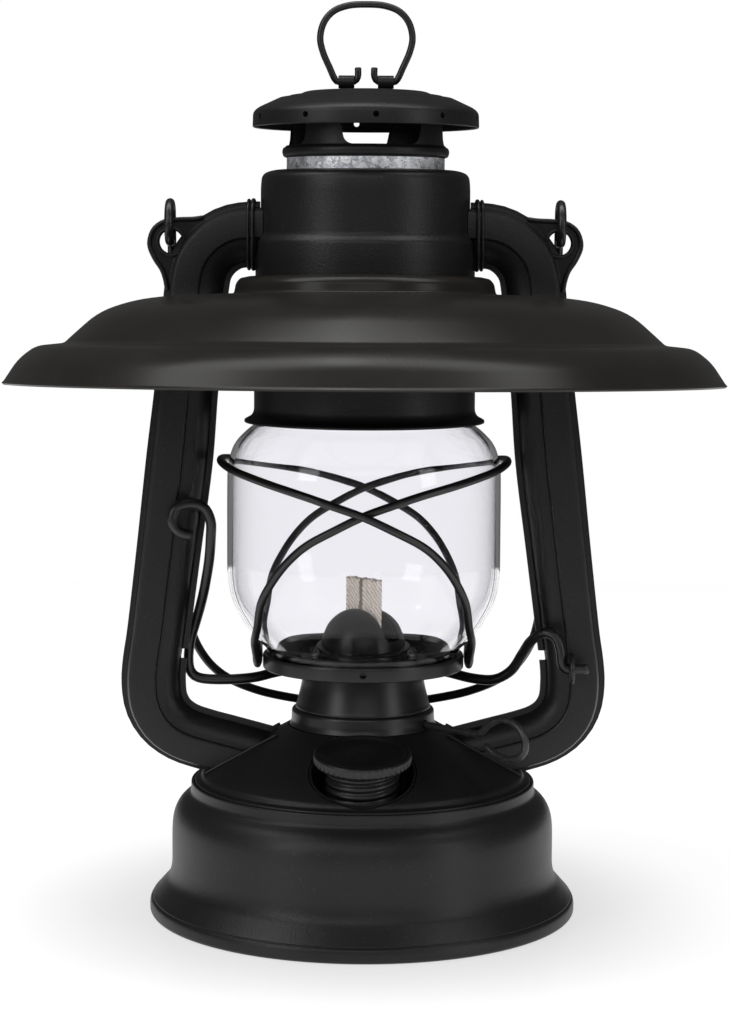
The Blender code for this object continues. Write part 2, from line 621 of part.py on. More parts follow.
WICK_MATRIX = Matrix.Rotation(WICK_TURN, 4, "Z")
CARRIAGE = joint_empty("globe_carriage_slide")
HOOD = joint_empty("hood_slide", parent=CARRIAGE)
RING_FRAME = joint_empty("top_ring_hinge", RING_PIVOT, parent=HOOD)
SHADE_FRAME = joint_empty("shade_slide", (0.0, 0.0, SHADE_RIM_HEIGHT),
                          Matrix.Rotation(-SHADE_TIP, 4, "X"))
LEVER_FRAME = joint_empty("lever_hinge", LEVER_PIVOT)
BAIL_FRAME = joint_empty("bail_hinge", BAIL_PIVOT)
WICK_SLIDE = joint_empty("wick_slide")
SHAFT_FOOT = WICK_MATRIX @ Vector((0.0, SHAFT_OFFSET, SHAFT_HEIGHT))
WICK_FRAME = joint_empty("wick_winder_hinge", SHAFT_FOOT, WICK_MATRIX)
FILLER_LEAN = Matrix.Rotation(FILLER_TILT, 4, "X")
FILLER_FRAME = joint_empty("filler_axis", FILLER_FOOT, FILLER_LEAN)
FILLER_LIFT = joint_empty("filler_lift", FILLER_FOOT, FILLER_LEAN)
FILLER_TURN = joint_empty("filler_turn", FILLER_FOOT, FILLER_LEAN, FILLER_LIFT)

WELL_CUT = ((0.0, 16.0), (17.6, 16.0), (13.7, -1.2), (0.0, -1.2))
FILLER_WELL = as_tool(turned("filler_well_cutter", WELL_CUT, BLACK, NARROW_STEPS, FILLER_FRAME,
                             on_axis=True))
FILLER_PIPE = rod_cutter("filler_pipe_cutter", 11.4, 40.0, FILLER_FRAME.matrix_world)
OVER_TANK = as_tool(turned("over_tank_cutter", (
    (0.0, 80.0), (60.0, 80.0), (60.0, 39.2), (50.2, 44.7), (46.0, 47.1), (38.0, 51.6),
    (30.0, 55.7), (26.0, 57.7), (23.2, 58.3), (0.0, 58.3)), BLACK, WIDE_STEPS, on_axis=True))
combine(OVER_TANK, rod_cutter("neck_keeper", 12.0, 60.0, FILLER_FRAME.matrix_world))
OVER_TANK_BODY = as_tool(turned("tank_clearance_cutter", (
    (0.0, 60.6), (23.0, 59.3), (26.2, 57.9), (30.2, 55.9), (38.2, 51.8), (46.2, 47.3),
    (50.5, 44.9), (53.1, 43.4), (53.4, 40.7), (56.1, 37.8), (60.0, 30.0), (60.0, 20.0),
    (0.0, 20.0)), BLACK, WIDE_STEPS, on_axis=True))
BELL_BODY = as_tool(turned("bell_clearance_cutter", (
    (0.0, 240.0), (32.7, 240.0), (32.7, 212.9), (34.35, 211.3), (34.35, 180.0), (0.0, 180.0)),
    BLACK, WIDE_STEPS, on_axis=True))
SHAFT_HOLE = rod_cutter("shaft_hole_cutter", SHAFT_WIRE + GAP, 60.0,
                        WICK_FRAME.matrix_world @ Matrix.Translation((0.030, 0.0, 0.0))
                        @ Matrix.Rotation(math.pi / 2, 4, "Y"), 10)
ACROSS = Matrix.Rotation(math.pi / 2, 4, "X")
EAR_BORES = {}
NOTCHES = {}
for SIDE in (-1, 1):
    AT_HOLE = Matrix.Translation((SIDE * EAR_HOLE[0] * MM, 0.0, EAR_HOLE[1] * MM)) @ ACROSS
    EAR_BORES[SIDE] = rod_cutter(f"ear_bore_{SIDE}", EAR_HOLE_RADIUS, 10.0, AT_HOLE)
    EDGES = sorted((SIDE * 50.0, SIDE * 57.3))
    NOTCHES[SIDE] = box_cutter(f"latch_notch_{SIDE}", (EDGES[0], -1.6, 79.4),
                               (EDGES[1], 1.6, 82.6))

make_tank()
make_filler()
make_burner()
make_wick_winder()
make_tubes()
make_bell()
make_globe_carriage()
make_hood()
make_lever()
make_bail()
make_shade()
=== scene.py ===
"""Looks of the barn lantern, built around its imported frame.

Lengths are written in millimetres and turned into metres where a mesh is made. The origin is
the centre of the base, +Z up, -Y the front, +X the side of the lever's eye.
"""
import json
import math
import random

import bmesh
import bpy
from mathutils import Matrix, Vector


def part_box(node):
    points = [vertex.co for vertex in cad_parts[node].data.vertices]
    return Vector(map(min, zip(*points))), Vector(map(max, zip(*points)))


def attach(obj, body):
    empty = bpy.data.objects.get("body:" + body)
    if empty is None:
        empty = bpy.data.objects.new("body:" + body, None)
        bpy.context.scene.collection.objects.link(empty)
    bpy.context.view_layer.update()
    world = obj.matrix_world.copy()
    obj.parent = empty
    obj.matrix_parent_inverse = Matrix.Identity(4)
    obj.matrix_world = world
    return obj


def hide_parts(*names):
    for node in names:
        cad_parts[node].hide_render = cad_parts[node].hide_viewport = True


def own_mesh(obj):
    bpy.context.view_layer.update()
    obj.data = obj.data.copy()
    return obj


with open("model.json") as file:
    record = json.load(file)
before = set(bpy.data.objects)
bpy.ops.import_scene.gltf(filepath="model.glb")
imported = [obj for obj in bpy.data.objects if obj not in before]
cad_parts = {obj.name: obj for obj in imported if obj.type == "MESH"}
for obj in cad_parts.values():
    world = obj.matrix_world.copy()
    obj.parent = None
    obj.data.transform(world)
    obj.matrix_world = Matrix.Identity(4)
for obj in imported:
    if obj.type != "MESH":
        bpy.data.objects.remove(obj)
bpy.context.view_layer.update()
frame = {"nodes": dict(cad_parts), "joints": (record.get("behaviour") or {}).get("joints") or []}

MM = 0.001
TAU = math.tau
ROUND_STEPS = 144
SMALL_STEPS = 72

# Places read from the frame, in millimetres
JOINTS = {joint["name"]: joint for joint in frame["joints"]}


def joint_place(name):
    return [value / MM for value in JOINTS[name]["pos_m"]]


FILLER_FOOT = joint_place("filler_turn")
FILLER_AXIS = Vector(JOINTS["filler_turn"]["axis"])
LEVER_PIVOT = joint_place("lever_lift")
RING_PIVOT = joint_place("top_ring_swing")
SHAFT_FOOT = joint_place("wick_turn")
TANK_LIP_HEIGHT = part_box("tank_shell")[1][2] / MM
WICK_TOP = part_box("wick")[1][2] / MM
FILLER_TURNS = 2
THREAD_PITCH = JOINTS["filler_lift"]["range_m"][1] / MM / FILLER_TURNS

# How loose pieces sit, and sizes that several pieces share
SHADE_TIP = math.radians(2.3)
SHADE_RIM_HEIGHT = 165.9
WICK_TURN = math.radians(-45.0)
PORT_HEIGHT = 212.0
SEAM_GAP = 0.15


# ---------------------------------------------------------------- materials

def node_material(name):
    material = bpy.data.materials.new(name)
    material.use_nodes = True
    tree = material.node_tree
    return material, tree, tree.nodes["Principled BSDF"]


def add_node(tree, kind, **inputs):
    node = tree.nodes.new(kind)
    for key, value in inputs.items():
        node.inputs[key.replace("_", " ")].default_value = value
    return node


def object_place(tree):
    return tree.nodes.new("ShaderNodeTexCoord").outputs["Object"]


def object_noise(tree, scale, detail=4.0, roughness=0.5):
    noise = add_node(tree, "ShaderNodeTexNoise", Scale=scale, Detail=detail, Roughness=roughness)
    tree.links.new(object_place(tree), noise.inputs["Vector"])
    return noise


def ramp(tree, source, low, high, start=0.35, end=0.65):
    """A colour ramp from low to high over a stretch of a 0..1 source."""
    node = tree.nodes.new("ShaderNodeValToRGB")
    node.color_ramp.elements[0].position = start
    node.color_ramp.elements[1].position = end
    node.color_ramp.elements[0].color = (*low, 1.0)
    node.color_ramp.elements[1].color = (*high, 1.0)
    tree.links.new(source, node.inputs["Fac"])
    return node


def blend(tree, factor, source, colour):
    """A colour socket that gives way to a fixed colour as the factor rises."""
    mix = tree.nodes.new("ShaderNodeMix")
    mix.data_type = "RGBA"
    tree.links.new(factor, mix.inputs["Factor"])
    tree.links.new(source, mix.inputs["A"])
    mix.inputs["B"].default_value = (*colour, 1.0)
    return mix.outputs["Result"]


def math_node(tree, operation, first, second=0.0):
    """The result of one sum; each side is a socket or a number."""
    node = tree.nodes.new("ShaderNodeMath")
    node.operation = operation
    for socket, value in zip(node.inputs, (first, second)):
        if isinstance(value, float):
            socket.default_value = value
        else:
            tree.links.new(value, socket)
    return node.outputs["Value"]


def spread(tree, source, low, high):
    """A 0..1 source mapped to a range of numbers."""
    node = tree.nodes.new("ShaderNodeMapRange")
    node.inputs["To Min"].default_value = low
    node.inputs["To Max"].default_value = high
    tree.links.new(source, node.inputs["Value"])
    return node.outputs["Result"]


def bump(tree, shader, height, strength, distance, after=None):
    node = tree.nodes.new("ShaderNodeBump")
    node.inputs["Strength"].default_value = strength
    node.inputs["Distance"].default_value = distance
    tree.links.new(height, node.inputs["Height"])
    if after:
        tree.links.new(after.outputs["Normal"], node.inputs["Normal"])
    tree.links.new(node.outputs["Normal"], shader.inputs["Normal"])
    return node


def enamel(name, colour, worn, roughness, grain, grain_scale=1500.0, specular=0.5):
    """Baked enamel: fine orange peel, faint cloudiness in tone and gloss, paler worn specks."""
    material, tree, shader = node_material(name)
    cloud = object_noise(tree, 38.0, 5.0)
    tone = ramp(tree, cloud.outputs["Fac"], colour, tuple(c * 1.35 for c in colour), 0.3, 0.7)
    specks = object_noise(tree, 900.0, 2.0, 0.4)
    mask = ramp(tree, specks.outputs["Fac"], (0.0, 0.0, 0.0), (1.0, 1.0, 1.0), 0.66, 0.76)
    colours = blend(tree, mask.outputs["Color"], tone.outputs["Color"], worn)
    tree.links.new(colours, shader.inputs["Base Color"])
    gloss = spread(tree, cloud.outputs["Fac"], roughness - 0.05, roughness + 0.07)
    tree.links.new(gloss, shader.inputs["Roughness"])
    shader.inputs["Specular IOR Level"].default_value = specular
    peel = object_noise(tree, grain_scale, 2.0, 0.6)
    fine = bump(tree, shader, peel.outputs["Fac"], grain, 0.00012)
    swell = object_noise(tree, 95.0, 2.0)
    bump(tree, shader, swell.outputs["Fac"], 0.05, 0.0006, fine)
    return material


def zinc_material():
    """Hot-dip zinc: flat crystals that differ in tone, with a fine matt grain over them."""
    material, tree, shader = node_material("zinc_spangle")
    cells = add_node(tree, "ShaderNodeTexVoronoi", Scale=760.0)
    warp = object_noise(tree, 900.0, 3.0)
    add = tree.nodes.new("ShaderNodeVectorMath")
    add.operation = "MULTIPLY_ADD"
    tree.links.new(warp.outputs["Color"], add.inputs[0])
    add.inputs[1].default_value = (0.004, 0.004, 0.004)
    tree.links.new(object_place(tree), add.inputs[2])
    tree.links.new(add.outputs["Vector"], cells.inputs["Vector"])
    tone = ramp(tree, cells.outputs["Color"], (0.30, 0.31, 0.37), (0.93, 0.94, 0.96), 0.05, 0.7)
    tree.links.new(tone.outputs["Color"], shader.inputs["Base Color"])
    shader.inputs["Metallic"].default_value = 0.75
    tree.links.new(spread(tree, cells.outputs["Color"], 0.34, 0.56), shader.inputs["Roughness"])
    grain = object_noise(tree, 1400.0, 3.0)
    bump(tree, shader, grain.outputs["Fac"], 0.8, 0.0003)
    return material


def steel_material():
    """Drawn wire, oiled dark, with a patchy tone and gloss."""
    material, tree, shader = node_material("dark_wire")
    streak = object_noise(tree, 620.0, 6.0)
    tone = ramp(tree, streak.outputs["Fac"], (0.022, 0.022, 0.024), (0.05, 0.05, 0.052), 0.3, 0.75)
    tree.links.new(tone.outputs["Color"], shader.inputs["Base Color"])
    shader.inputs["Metallic"].default_value = 0.35
    tree.links.new(spread(tree, streak.outputs["Fac"], 0.26, 0.46), shader.inputs["Roughness"])
    bump(tree, shader, streak.outputs["Fac"], 0.08, 0.0002)
    return material


def glass_material():
    """Clear pressed glass with a faint lilac cast."""
    material, tree, shader = node_material("clear_glass")
    shader.inputs["Base Color"].default_value = (0.945, 0.940, 0.965, 1.0)
    shader.inputs["Roughness"].default_value = 0.0
    shader.inputs["IOR"].default_value = 1.3
    shader.inputs["Transmission Weight"].default_value = 1.0
    return material


def cotton_material():
    """Braided cotton yarn with one dark tracer thread down the middle of the ribbon, and a faint painted
    glow that stands in for light.
    """
    material, tree, shader = node_material("braided_cotton")
    wander_reach, tracer_half_width = 0.0011, 0.0007
    parts = tree.nodes.new("ShaderNodeSeparateXYZ")
    tree.links.new(object_place(tree), parts.inputs["Vector"])
    wander = object_noise(tree, 190.0, 1.0)
    drift = spread(tree, wander.outputs["Fac"], -wander_reach, wander_reach)
    away = math_node(tree, "ABSOLUTE", math_node(tree, "ADD", parts.outputs["X"], drift))
    tracer = math_node(tree, "LESS_THAN", away, tracer_half_width)
    yarn = object_noise(tree, 1500.0, 4.0)
    stitches = add_node(tree, "ShaderNodeTexWave", Scale=390.0, Distortion=4.0, Detail=1.0)
    stitches.bands_direction = "DIAGONAL"
    tree.links.new(object_place(tree), stitches.inputs["Vector"])
    tone = ramp(tree, stitches.outputs["Fac"], (0.60, 0.48, 0.38), (0.97, 0.92, 0.85), 0.05, 0.6)
    colours = blend(tree, tracer, tone.outputs["Color"], (0.035, 0.02, 0.02))
    tree.links.new(colours, shader.inputs["Base Color"])
    shader.inputs["Roughness"].default_value = 0.92
    shader.inputs["Sheen Weight"].default_value = 0.25
    # Painted light: a faint glow in the yarn stands in for light reaching the wick through the glass.
    shader.inputs["Emission Color"].default_value = (0.80, 0.70, 0.60, 1.0)
    shader.inputs["Emission Strength"].default_value = 0.14
    bump(tree, shader, yarn.outputs["Fac"], 0.5, 0.0003)
    return material


def cork_material():
    material, tree, shader = node_material("pressed_cork")
    grain = add_node(tree, "ShaderNodeTexVoronoi", Scale=900.0)
    tree.links.new(object_place(tree), grain.inputs["Vector"])
    tone = ramp(tree, grain.outputs["Color"], (0.24, 0.14, 0.07), (0.52, 0.35, 0.20), 0.1, 0.9)
    tree.links.new(tone.outputs["Color"], shader.inputs["Base Color"])
    shader.inputs["Roughness"].default_value = 0.85
    bump(tree, shader, grain.outputs["Distance"], 0.4, 0.0003)
    return material


SATIN = enamel("satin_black_enamel", (0.0066, 0.0066, 0.0068), (0.018, 0.018, 0.019), 0.40, 0.60,
               specular=0.32)
SMOOTH = enamel("smooth_black_enamel", (0.0070, 0.0070, 0.0072), (0.014, 0.014, 0.015), 0.34, 0.08,
                specular=0.4)
GLOSS = enamel("gloss_black_enamel", (0.0150, 0.0139, 0.0127), (0.018, 0.017, 0.015), 0.25, 0.06,
               1100.0, 0.16)
WIRE = enamel("wire_black_enamel", (0.0050, 0.0050, 0.0052), (0.016, 0.016, 0.017), 0.34, 0.20)
ZINC = zinc_material()
STEEL = steel_material()
GLASS = glass_material()
COTTON = cotton_material()
CORK = cork_material()


# ---------------------------------------------------------------- making pieces

def place(obj, body, nodes=()):
    """Ride on a body and stand for CAD nodes, which are hidden."""
    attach(obj, body)
    if nodes:
        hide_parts(*nodes)
    return obj


def new_object(name, data, material, matrix=None):
    obj = bpy.data.objects.new(name, data)
    if not data.materials:
        data.materials.append(material)
    bpy.context.scene.collection.objects.link(obj)
    if matrix:
        obj.matrix_world = matrix
    return obj


def finished_mesh(bm, name):
    mesh = bpy.data.meshes.new(name)
    bm.to_mesh(mesh)
    bm.free()
    return mesh


def shade_smooth(mesh, angle=35.0):
    mesh.shade_smooth()
    mesh.set_sharp_from_angle(angle=math.radians(angle))


def rounded(profile, segments=4):
    """Turn (r, z, fillet) corners into short curves; a corner without a fillet stays sharp."""
    points = []
    count = len(profile)
    for i, corner in enumerate(profile):
        here = Vector(corner[:2])
        fillet = corner[2] if len(corner) > 2 else 0.0
        if not fillet:
            points.append(tuple(here))
            continue
        before = Vector(profile[i - 1][:2]) - here
        after = Vector(profile[(i + 1) % count][:2]) - here
        start = here + before.normalized() * min(fillet, before.length * 0.48)
        end = here + after.normalized() * min(fillet, after.length * 0.48)
        for k in range(segments + 1):
            t = k / segments
            points.append(tuple(start * (1 - t) ** 2 + here * 2 * t * (1 - t) + end * t * t))
    return points


def revolve_mesh(name, profile, steps=ROUND_STEPS, closed=True, wave=None):
    """Turn an outline round Z. Points at radius 0 become a pole; wave moves (r, z) by angle."""
    bm = bmesh.new()
    rings = []
    for r, z in profile:
        if r < 1e-6:
            rings.append([bm.verts.new((0.0, 0.0, z * MM))])
            continue
        ring = []
        for i in range(steps):
            angle = TAU * i / steps
            radius, height = wave(r, z, angle) if wave else (r, z)
            ring.append(bm.verts.new((radius * math.cos(angle) * MM, radius * math.sin(angle) * MM,
                                      height * MM)))
        rings.append(ring)
    pairs = list(zip(rings, rings[1:]))
    if closed:
        pairs.append((rings[-1], rings[0]))
    for first, second in pairs:
        if len(first) == 1 and len(second) == 1:
            continue
        for i in range(steps):
            n = (i + 1) % steps
            corners = [first[i % len(first)], first[n % len(first)],
                       second[n % len(second)], second[i % len(second)]]
            unique = list(dict.fromkeys(corners))
            if len(unique) > 2:
                bm.faces.new(unique)
    bmesh.ops.recalc_face_normals(bm, faces=bm.faces)
    mesh = finished_mesh(bm, name)
    shade_smooth(mesh)
    return mesh


def turned(name, profile, material, steps=ROUND_STEPS, closed=True, wave=None, matrix=None):
    return new_object(name, revolve_mesh(name, profile, steps, closed, wave), material, matrix)


def sheet_profile(outer, thickness):
    """An outline doubled into a thin sheet, the second side stepped in along its normals."""
    inner = []
    last = len(outer) - 1
    for i, (r, z) in enumerate(outer):
        here = Vector((r, z))
        before = Vector(outer[i - 1]) if i else None
        after = Vector(outer[i + 1]) if i < last else None
        into = (here - before).normalized() if before else (after - here).normalized()
        out = (after - here).normalized() if after else into
        along = (into + out).normalized()
        step = thickness / max(along.dot(into), 0.6)
        inner.append((r + along.y * step, z - along.x * step))
    return list(outer) + inner[::-1]


def smooth_line(points, spacing, closed=False):
    """Points at an even spacing on a smooth curve through the given ones."""
    route = [Vector(p) for p in points]
    count = len(route)
    fine = []
    for i in range(count if closed else count - 1):
        if closed:
            p0, p1, p2, p3 = (route[(i + k) % count] for k in (-1, 0, 1, 2))
        else:
            p1, p2 = route[i], route[i + 1]
            p0 = route[i - 1] if i else p1 * 2 - p2
            p3 = route[i + 2] if i + 2 < count else p2 * 2 - p1
        for k in range(16):
            t = k / 16
            fine.append(0.5 * (2 * p1 + (p2 - p0) * t + (2 * p0 - 5 * p1 + 4 * p2 - p3) * t ** 2
                               + (3 * p1 - p0 - 3 * p2 + p3) * t ** 3))
    fine.append(route[0].copy() if closed else route[-1])
    lengths = [0.0]
    for a, b in zip(fine, fine[1:]):
        lengths.append(lengths[-1] + (b - a).length)
    steps = max(2, round(lengths[-1] / spacing))
    even = []
    k = 0
    for i in range(steps + 1):
        target = lengths[-1] * i / steps
        while k < len(fine) - 2 and lengths[k + 1] < target:
            k += 1
        share = (target - lengths[k]) / max(lengths[k + 1] - lengths[k], 1e-9)
        even.append(fine[k].lerp(fine[k + 1], share))
    return even[:-1] if closed else even


TIP_REACH, TIP_SIZE = 0.28, 0.72


def wire(name, route, radius, material, spacing=1.3, closed=False):
    """A round wire with softly chamfered ends along a smooth line of points in millimetres."""
    points = smooth_line(route, spacing, closed)
    sizes = [1.0] * len(points)
    if not closed:
        for end, inner in ((0, 1), (-1, -2)):
            outwards = (points[end] - points[inner]).normalized()
            tip = points[end] + outwards * radius * TIP_REACH
            if end:
                points.append(tip)
                sizes.append(TIP_SIZE)
            else:
                points.insert(0, tip)
                sizes.insert(0, TIP_SIZE)
    curve = bpy.data.curves.new(name, "CURVE")
    curve.dimensions = "3D"
    curve.bevel_depth = radius * MM
    curve.bevel_resolution = 5
    curve.use_fill_caps = True
    spline = curve.splines.new("POLY")
    spline.points.add(len(points) - 1)
    for target, point, size in zip(spline.points, points, sizes):
        target.co = (*(point * MM), 1.0)
        target.radius = size
    spline.use_cyclic_u = closed
    spline.use_smooth = True
    return new_object(name, curve, material)


def as_mesh(obj):
    """Turn a curve object into a mesh object of the same name, shape and material."""
    ready = obj.evaluated_get(bpy.context.evaluated_depsgraph_get())
    mesh = bpy.data.meshes.new_from_object(ready)
    name, matrix, material = obj.name, obj.matrix_world.copy(), obj.data.materials[0]
    bpy.data.objects.remove(obj)
    return new_object(name, mesh, material, matrix)


def tool_box(low, high, matrix=None, bevel=0.0, flare=0.0):
    """A hidden box for cutting: bevel rounds its edges along Y, flare widens its top along X."""
    bm = bmesh.new()
    low, high = Vector(low), Vector(high)
    size = Matrix.Diagonal((*((high - low) * MM), 1.0))
    bmesh.ops.create_cube(bm, size=1.0, matrix=Matrix.Translation((low + high) / 2 * MM) @ size)
    if bevel:
        along = [e for e in bm.edges if abs((e.verts[0].co - e.verts[1].co).normalized().y) > 0.9]
        bmesh.ops.bevel(bm, geom=along, offset=bevel * MM, segments=6, affect="EDGES", profile=0.5)
    for vert in bm.verts:
        rise = (vert.co.z / MM - low.z) / (high.z - low.z)
        vert.co.x *= 1.0 + flare * rise
    if matrix:
        bmesh.ops.transform(bm, matrix=matrix, verts=bm.verts)
    return new_object("tool", finished_mesh(bm, "tool"), SATIN)


def tool_rods(places, radius, length, segments=24):
    """Hidden rods for cutting, one at each matrix, along that matrix's Z."""
    bm = bmesh.new()
    for matrix in places:
        bmesh.ops.create_cone(bm, cap_ends=True, segments=segments, radius1=radius * MM,
                              radius2=radius * MM, depth=length * MM, matrix=matrix)
    return new_object("tool", finished_mesh(bm, "tool"), SATIN)


def carve(obj, *tools, operation="DIFFERENCE", angle=35.0):
    """Cut the tools out of an object for good, or join them to it, and remove them."""
    for tool in tools:
        boolean = obj.modifiers.new("Cut", "BOOLEAN")
        boolean.operation = operation
        boolean.object = tool
    ready = obj.evaluated_get(bpy.context.evaluated_depsgraph_get())
    mesh = bpy.data.meshes.new_from_object(ready)
    obj.modifiers.clear()
    obj.data = mesh
    shade_smooth(mesh, angle)
    for tool in tools:
        bpy.data.objects.remove(tool)
    return obj


def around(radius, height, angle, lean=math.pi / 2):
    """A matrix at a place on a circle round Z, its own Z pointing outwards."""
    turn = Matrix.Rotation(angle, 4, "Z")
    return turn @ Matrix.Translation((radius * MM, 0.0, height * MM)) @ Matrix.Rotation(lean, 4, "Y")


FILLER_FRAME = (Matrix.Translation(Vector(FILLER_FOOT) * MM)
                @ Vector((0.0, 0.0, 1.0)).rotation_difference(FILLER_AXIS).to_matrix().to_4x4())
WICK_MATRIX = Matrix.Rotation(WICK_TURN, 4, "Z")
SHADE_FRAME = (Matrix.Translation((0.0, 0.0, SHADE_RIM_HEIGHT * MM))
               @ Matrix.Rotation(-SHADE_TIP, 4, "X"))


# ---------------------------------------------------------------- tank and filler

def make_tank():
    lip_drop = 1.4
    lip = TANK_LIP_HEIGHT - lip_drop
    shell = rounded((
        (53.7, lip, 0.4), (54.0, 41.2, 0.5), (54.0, 37.8, 1.0), (57.6, 35.1, 2.2),
        (59.5, 31.4, 2.2), (60.0, 27.0, 2.5), (60.0, 14.6, 2.4), (61.0, 10.9, 1.6),
        (65.8, 5.5, 0.5), (66.2, 5.1, 0.3), (65.9, 4.8, 0.2), (66.7, 4.3, 0.5),
        (67.0, 3.2, 0.6), (67.0, 0.7, 0.6), (66.2, 0.0, 0.4), (61.5, 0.0, 0.3),
        (61.5, 0.8, 0.2), (66.0, 0.9, 0.3), (65.2, 4.5), (60.2, 10.2), (59.2, 14.0),
        (59.2, 26.6), (56.9, 34.4), (53.2, 37.5), (53.2, 40.9), (53.1, lip, 0.2)))
    place(turned("tank_shell_look", shell, SATIN), "frame", ["tank_shell"])

    bottom = rounded(((0.0, 3.8), (55.8, 3.8, 0.8), (59.4, 2.0, 0.8), (65.2, 2.0, 0.3),
                      (65.2, 1.2, 0.3), (59.0, 1.2, 0.8), (55.4, 3.0, 0.8), (0.0, 3.0)))
    place(turned("tank_bottom_look", bottom, SATIN), "frame", ["tank_bottom"])

    outline = rounded(((23.5, 59.0), (26.0, 57.6, 1.0), (37.9, 51.1, 2.0), (50.3, 43.8, 0.8),
                       (51.0, 42.4, 0.6), (52.9, 42.0, 0.4), (52.9, 39.0)))
    top = turned("tank_top_look", sheet_profile(outline, 0.8), SATIN)
    well = turned("tool", ((0.0, 16.0), (18.5, 16.0), (14.6, -2.1), (0.0, -2.1)), SATIN, 96,
                  matrix=FILLER_FRAME)
    carve(top, well)
    place(top, "frame", ["tank_top"])


def over_tank_tool():
    """What lies above the tank's top except the filler's stalk, to trim the filler's well."""
    outline = ((0.0, 80.0), (60.0, 80.0), (60.0, 41.8), (52.8, 41.9), (50.4, 43.6), (38.0, 51.0),
               (26.0, 57.5), (23.4, 58.6), (23.4, 58.3), (0.0, 58.3))
    tool = turned("tool", outline, SATIN, 144)
    keeper = tool_rods([FILLER_FRAME], 12.4, 60.0, 48)
    return carve(tool, keeper)


def make_filler():
    thread_foot, thread_head, thread_inside, thread_depth = -0.5, 10.6, 10.4, 0.85

    def thread(r, z, angle):
        if r < thread_inside or z < thread_foot or z > thread_head:
            return r, z
        turns = z / THREAD_PITCH - angle / TAU
        fade = min(1.0, (z - thread_foot) / 1.2, (thread_head - z) / 0.8)
        return r - thread_depth * fade * (0.5 + 0.5 * math.cos(TAU * turns)) ** 1.4, z

    stalk = [(11.3, 11.0 - 12.0 * k / 60) for k in range(61)]
    neck = ([(17.6, 12.9), (14.3, -1.8), (10.8, -1.8), (10.8, -12.0), (9.6, -12.0), (9.6, 10.8),
             (9.9, 11.2), (10.7, 11.2)] + stalk + [(11.7, -1.1), (12.8, -1.05), (13.7, -0.5), (17.1, 12.9)])
    obj = turned("filler_neck_look", neck, SMOOTH, wave=thread, matrix=FILLER_FRAME)
    carve(obj, over_tank_tool())
    place(obj, "frame", ["filler_neck"])

    teeth, knurl_inside, knurl_head, knurl_depth = 48, 13.7, 13.3, 0.32

    def knurl(r, z, angle):
        if r < knurl_inside or z > knurl_head:
            return r, z
        return r - knurl_depth * (0.5 + 0.5 * math.cos(teeth * angle)) ** 0.7, z

    cap = rounded((
        (0.0, 12.75), (3.5, 12.75, 1.0), (4.6, 12.3, 0.7), (9.2, 12.3, 1.4), (12.4, 13.1, 0.9),
        (13.3, 13.9, 0.5), (14.3, 13.9, 0.4), (14.85, 13.2, 0.5), (14.85, 10.9, 0.4),
        (14.0, 10.2, 0.4), (13.3, 9.9, 0.3), (12.3, 9.8, 0.2), (11.5, 9.8, 0.2), (11.5, 11.8),
        (9.4, 11.9), (4.4, 11.9), (3.4, 12.3), (0.0, 12.3)))
    place(turned("filler_cap_look", cap, SMOOTH, teeth * 6, wave=knurl, matrix=FILLER_FRAME),
          "filler_cap", ["filler_cap"])

    seal = rounded(((9.9, 11.35, 0.2), (11.0, 11.35, 0.2), (11.0, 11.7, 0.2), (9.9, 11.7, 0.2)))
    place(turned("filler_seal_look", seal, CORK, SMALL_STEPS, matrix=FILLER_FRAME),
          "filler_gasket", ["filler_seal"])


# ---------------------------------------------------------------- burner and wick

def make_burner():
    collar = rounded((
        (14.3, 77.2), (18.4, 77.1, 0.3), (18.9, 75.6, 1.0), (19.4, 71.5, 1.5), (20.9, 65.7, 0.4),
        (21.2, 64.9, 0.3), (21.1, 64.5, 0.2), (21.9, 64.3, 0.4), (22.4, 63.6, 0.5),
        (22.45, 60.4, 0.8), (23.1, 59.0, 0.3), (22.4, 58.9, 0.1), (21.8, 60.4), (21.8, 63.4),
        (20.5, 64.2), (20.2, 65.2), (18.8, 71.3), (18.3, 75.4), (18.0, 76.5), (14.3, 76.6)))
    obj = turned("burner_collar_look", collar, SMOOTH)
    shaft = (Matrix.Translation(Vector(SHAFT_FOOT) * MM) @ WICK_MATRIX
             @ Matrix.Translation((0.030, 0.0, 0.0)) @ Matrix.Rotation(math.pi / 2, 4, "Y"))
    carve(obj, tool_rods([shaft], 1.5, 50.0))
    place(obj, "frame", ["burner_collar"])

    body = rounded((
        (9.4, 83.1), (13.2, 83.1, 0.3), (13.4, 82.4, 0.3), (13.4, 79.0, 0.2), (13.1, 78.7, 0.2),
        (13.4, 78.4, 0.2), (13.4, 70.4, 0.4), (17.6, 69.3), (17.6, 68.6), (12.8, 69.3),
        (12.8, 82.5), (9.4, 82.5)))
    place(turned("burner_body_look", body, SMOOTH, SMALL_STEPS), "frame", ["burner_body"])

    foot, outer, inner = 84.0, 13.1, 12.45
    crown = outer * 0.89
    skin = [(outer * math.cos(math.radians(a)), foot + crown * math.sin(math.radians(a)))
            for a in range(90, 3, -5)]
    lining = [(inner * math.cos(math.radians(a)), foot + (crown - 0.6) * math.sin(math.radians(a)))
              for a in range(5, 91, 5)]
    skin[0] = (0.0, foot + crown)
    lining[-1] = (0.0, foot + crown - 0.6)
    ledge = rounded(((13.3, 84.15, 0.2), (14.7, 84.0, 0.25), (14.7, 83.45, 0.2), (12.4, 83.4)))
    dome = turned("burner_dome_look", skin + ledge + lining, SMOOTH, closed=False)
    slot = tool_box((-16.0, -2.6, 86.4), (16.0, 3.4, 100.0), WICK_MATRIX)
    carve(dome, slot)
    rim = dome.modifiers.new("Rolled edge", "BEVEL")
    rim.width = 0.00018
    rim.segments = 2
    rim.limit_method = "ANGLE"
    rim.angle_limit = math.radians(50)
    place(dome, "frame", ["burner_dome"])


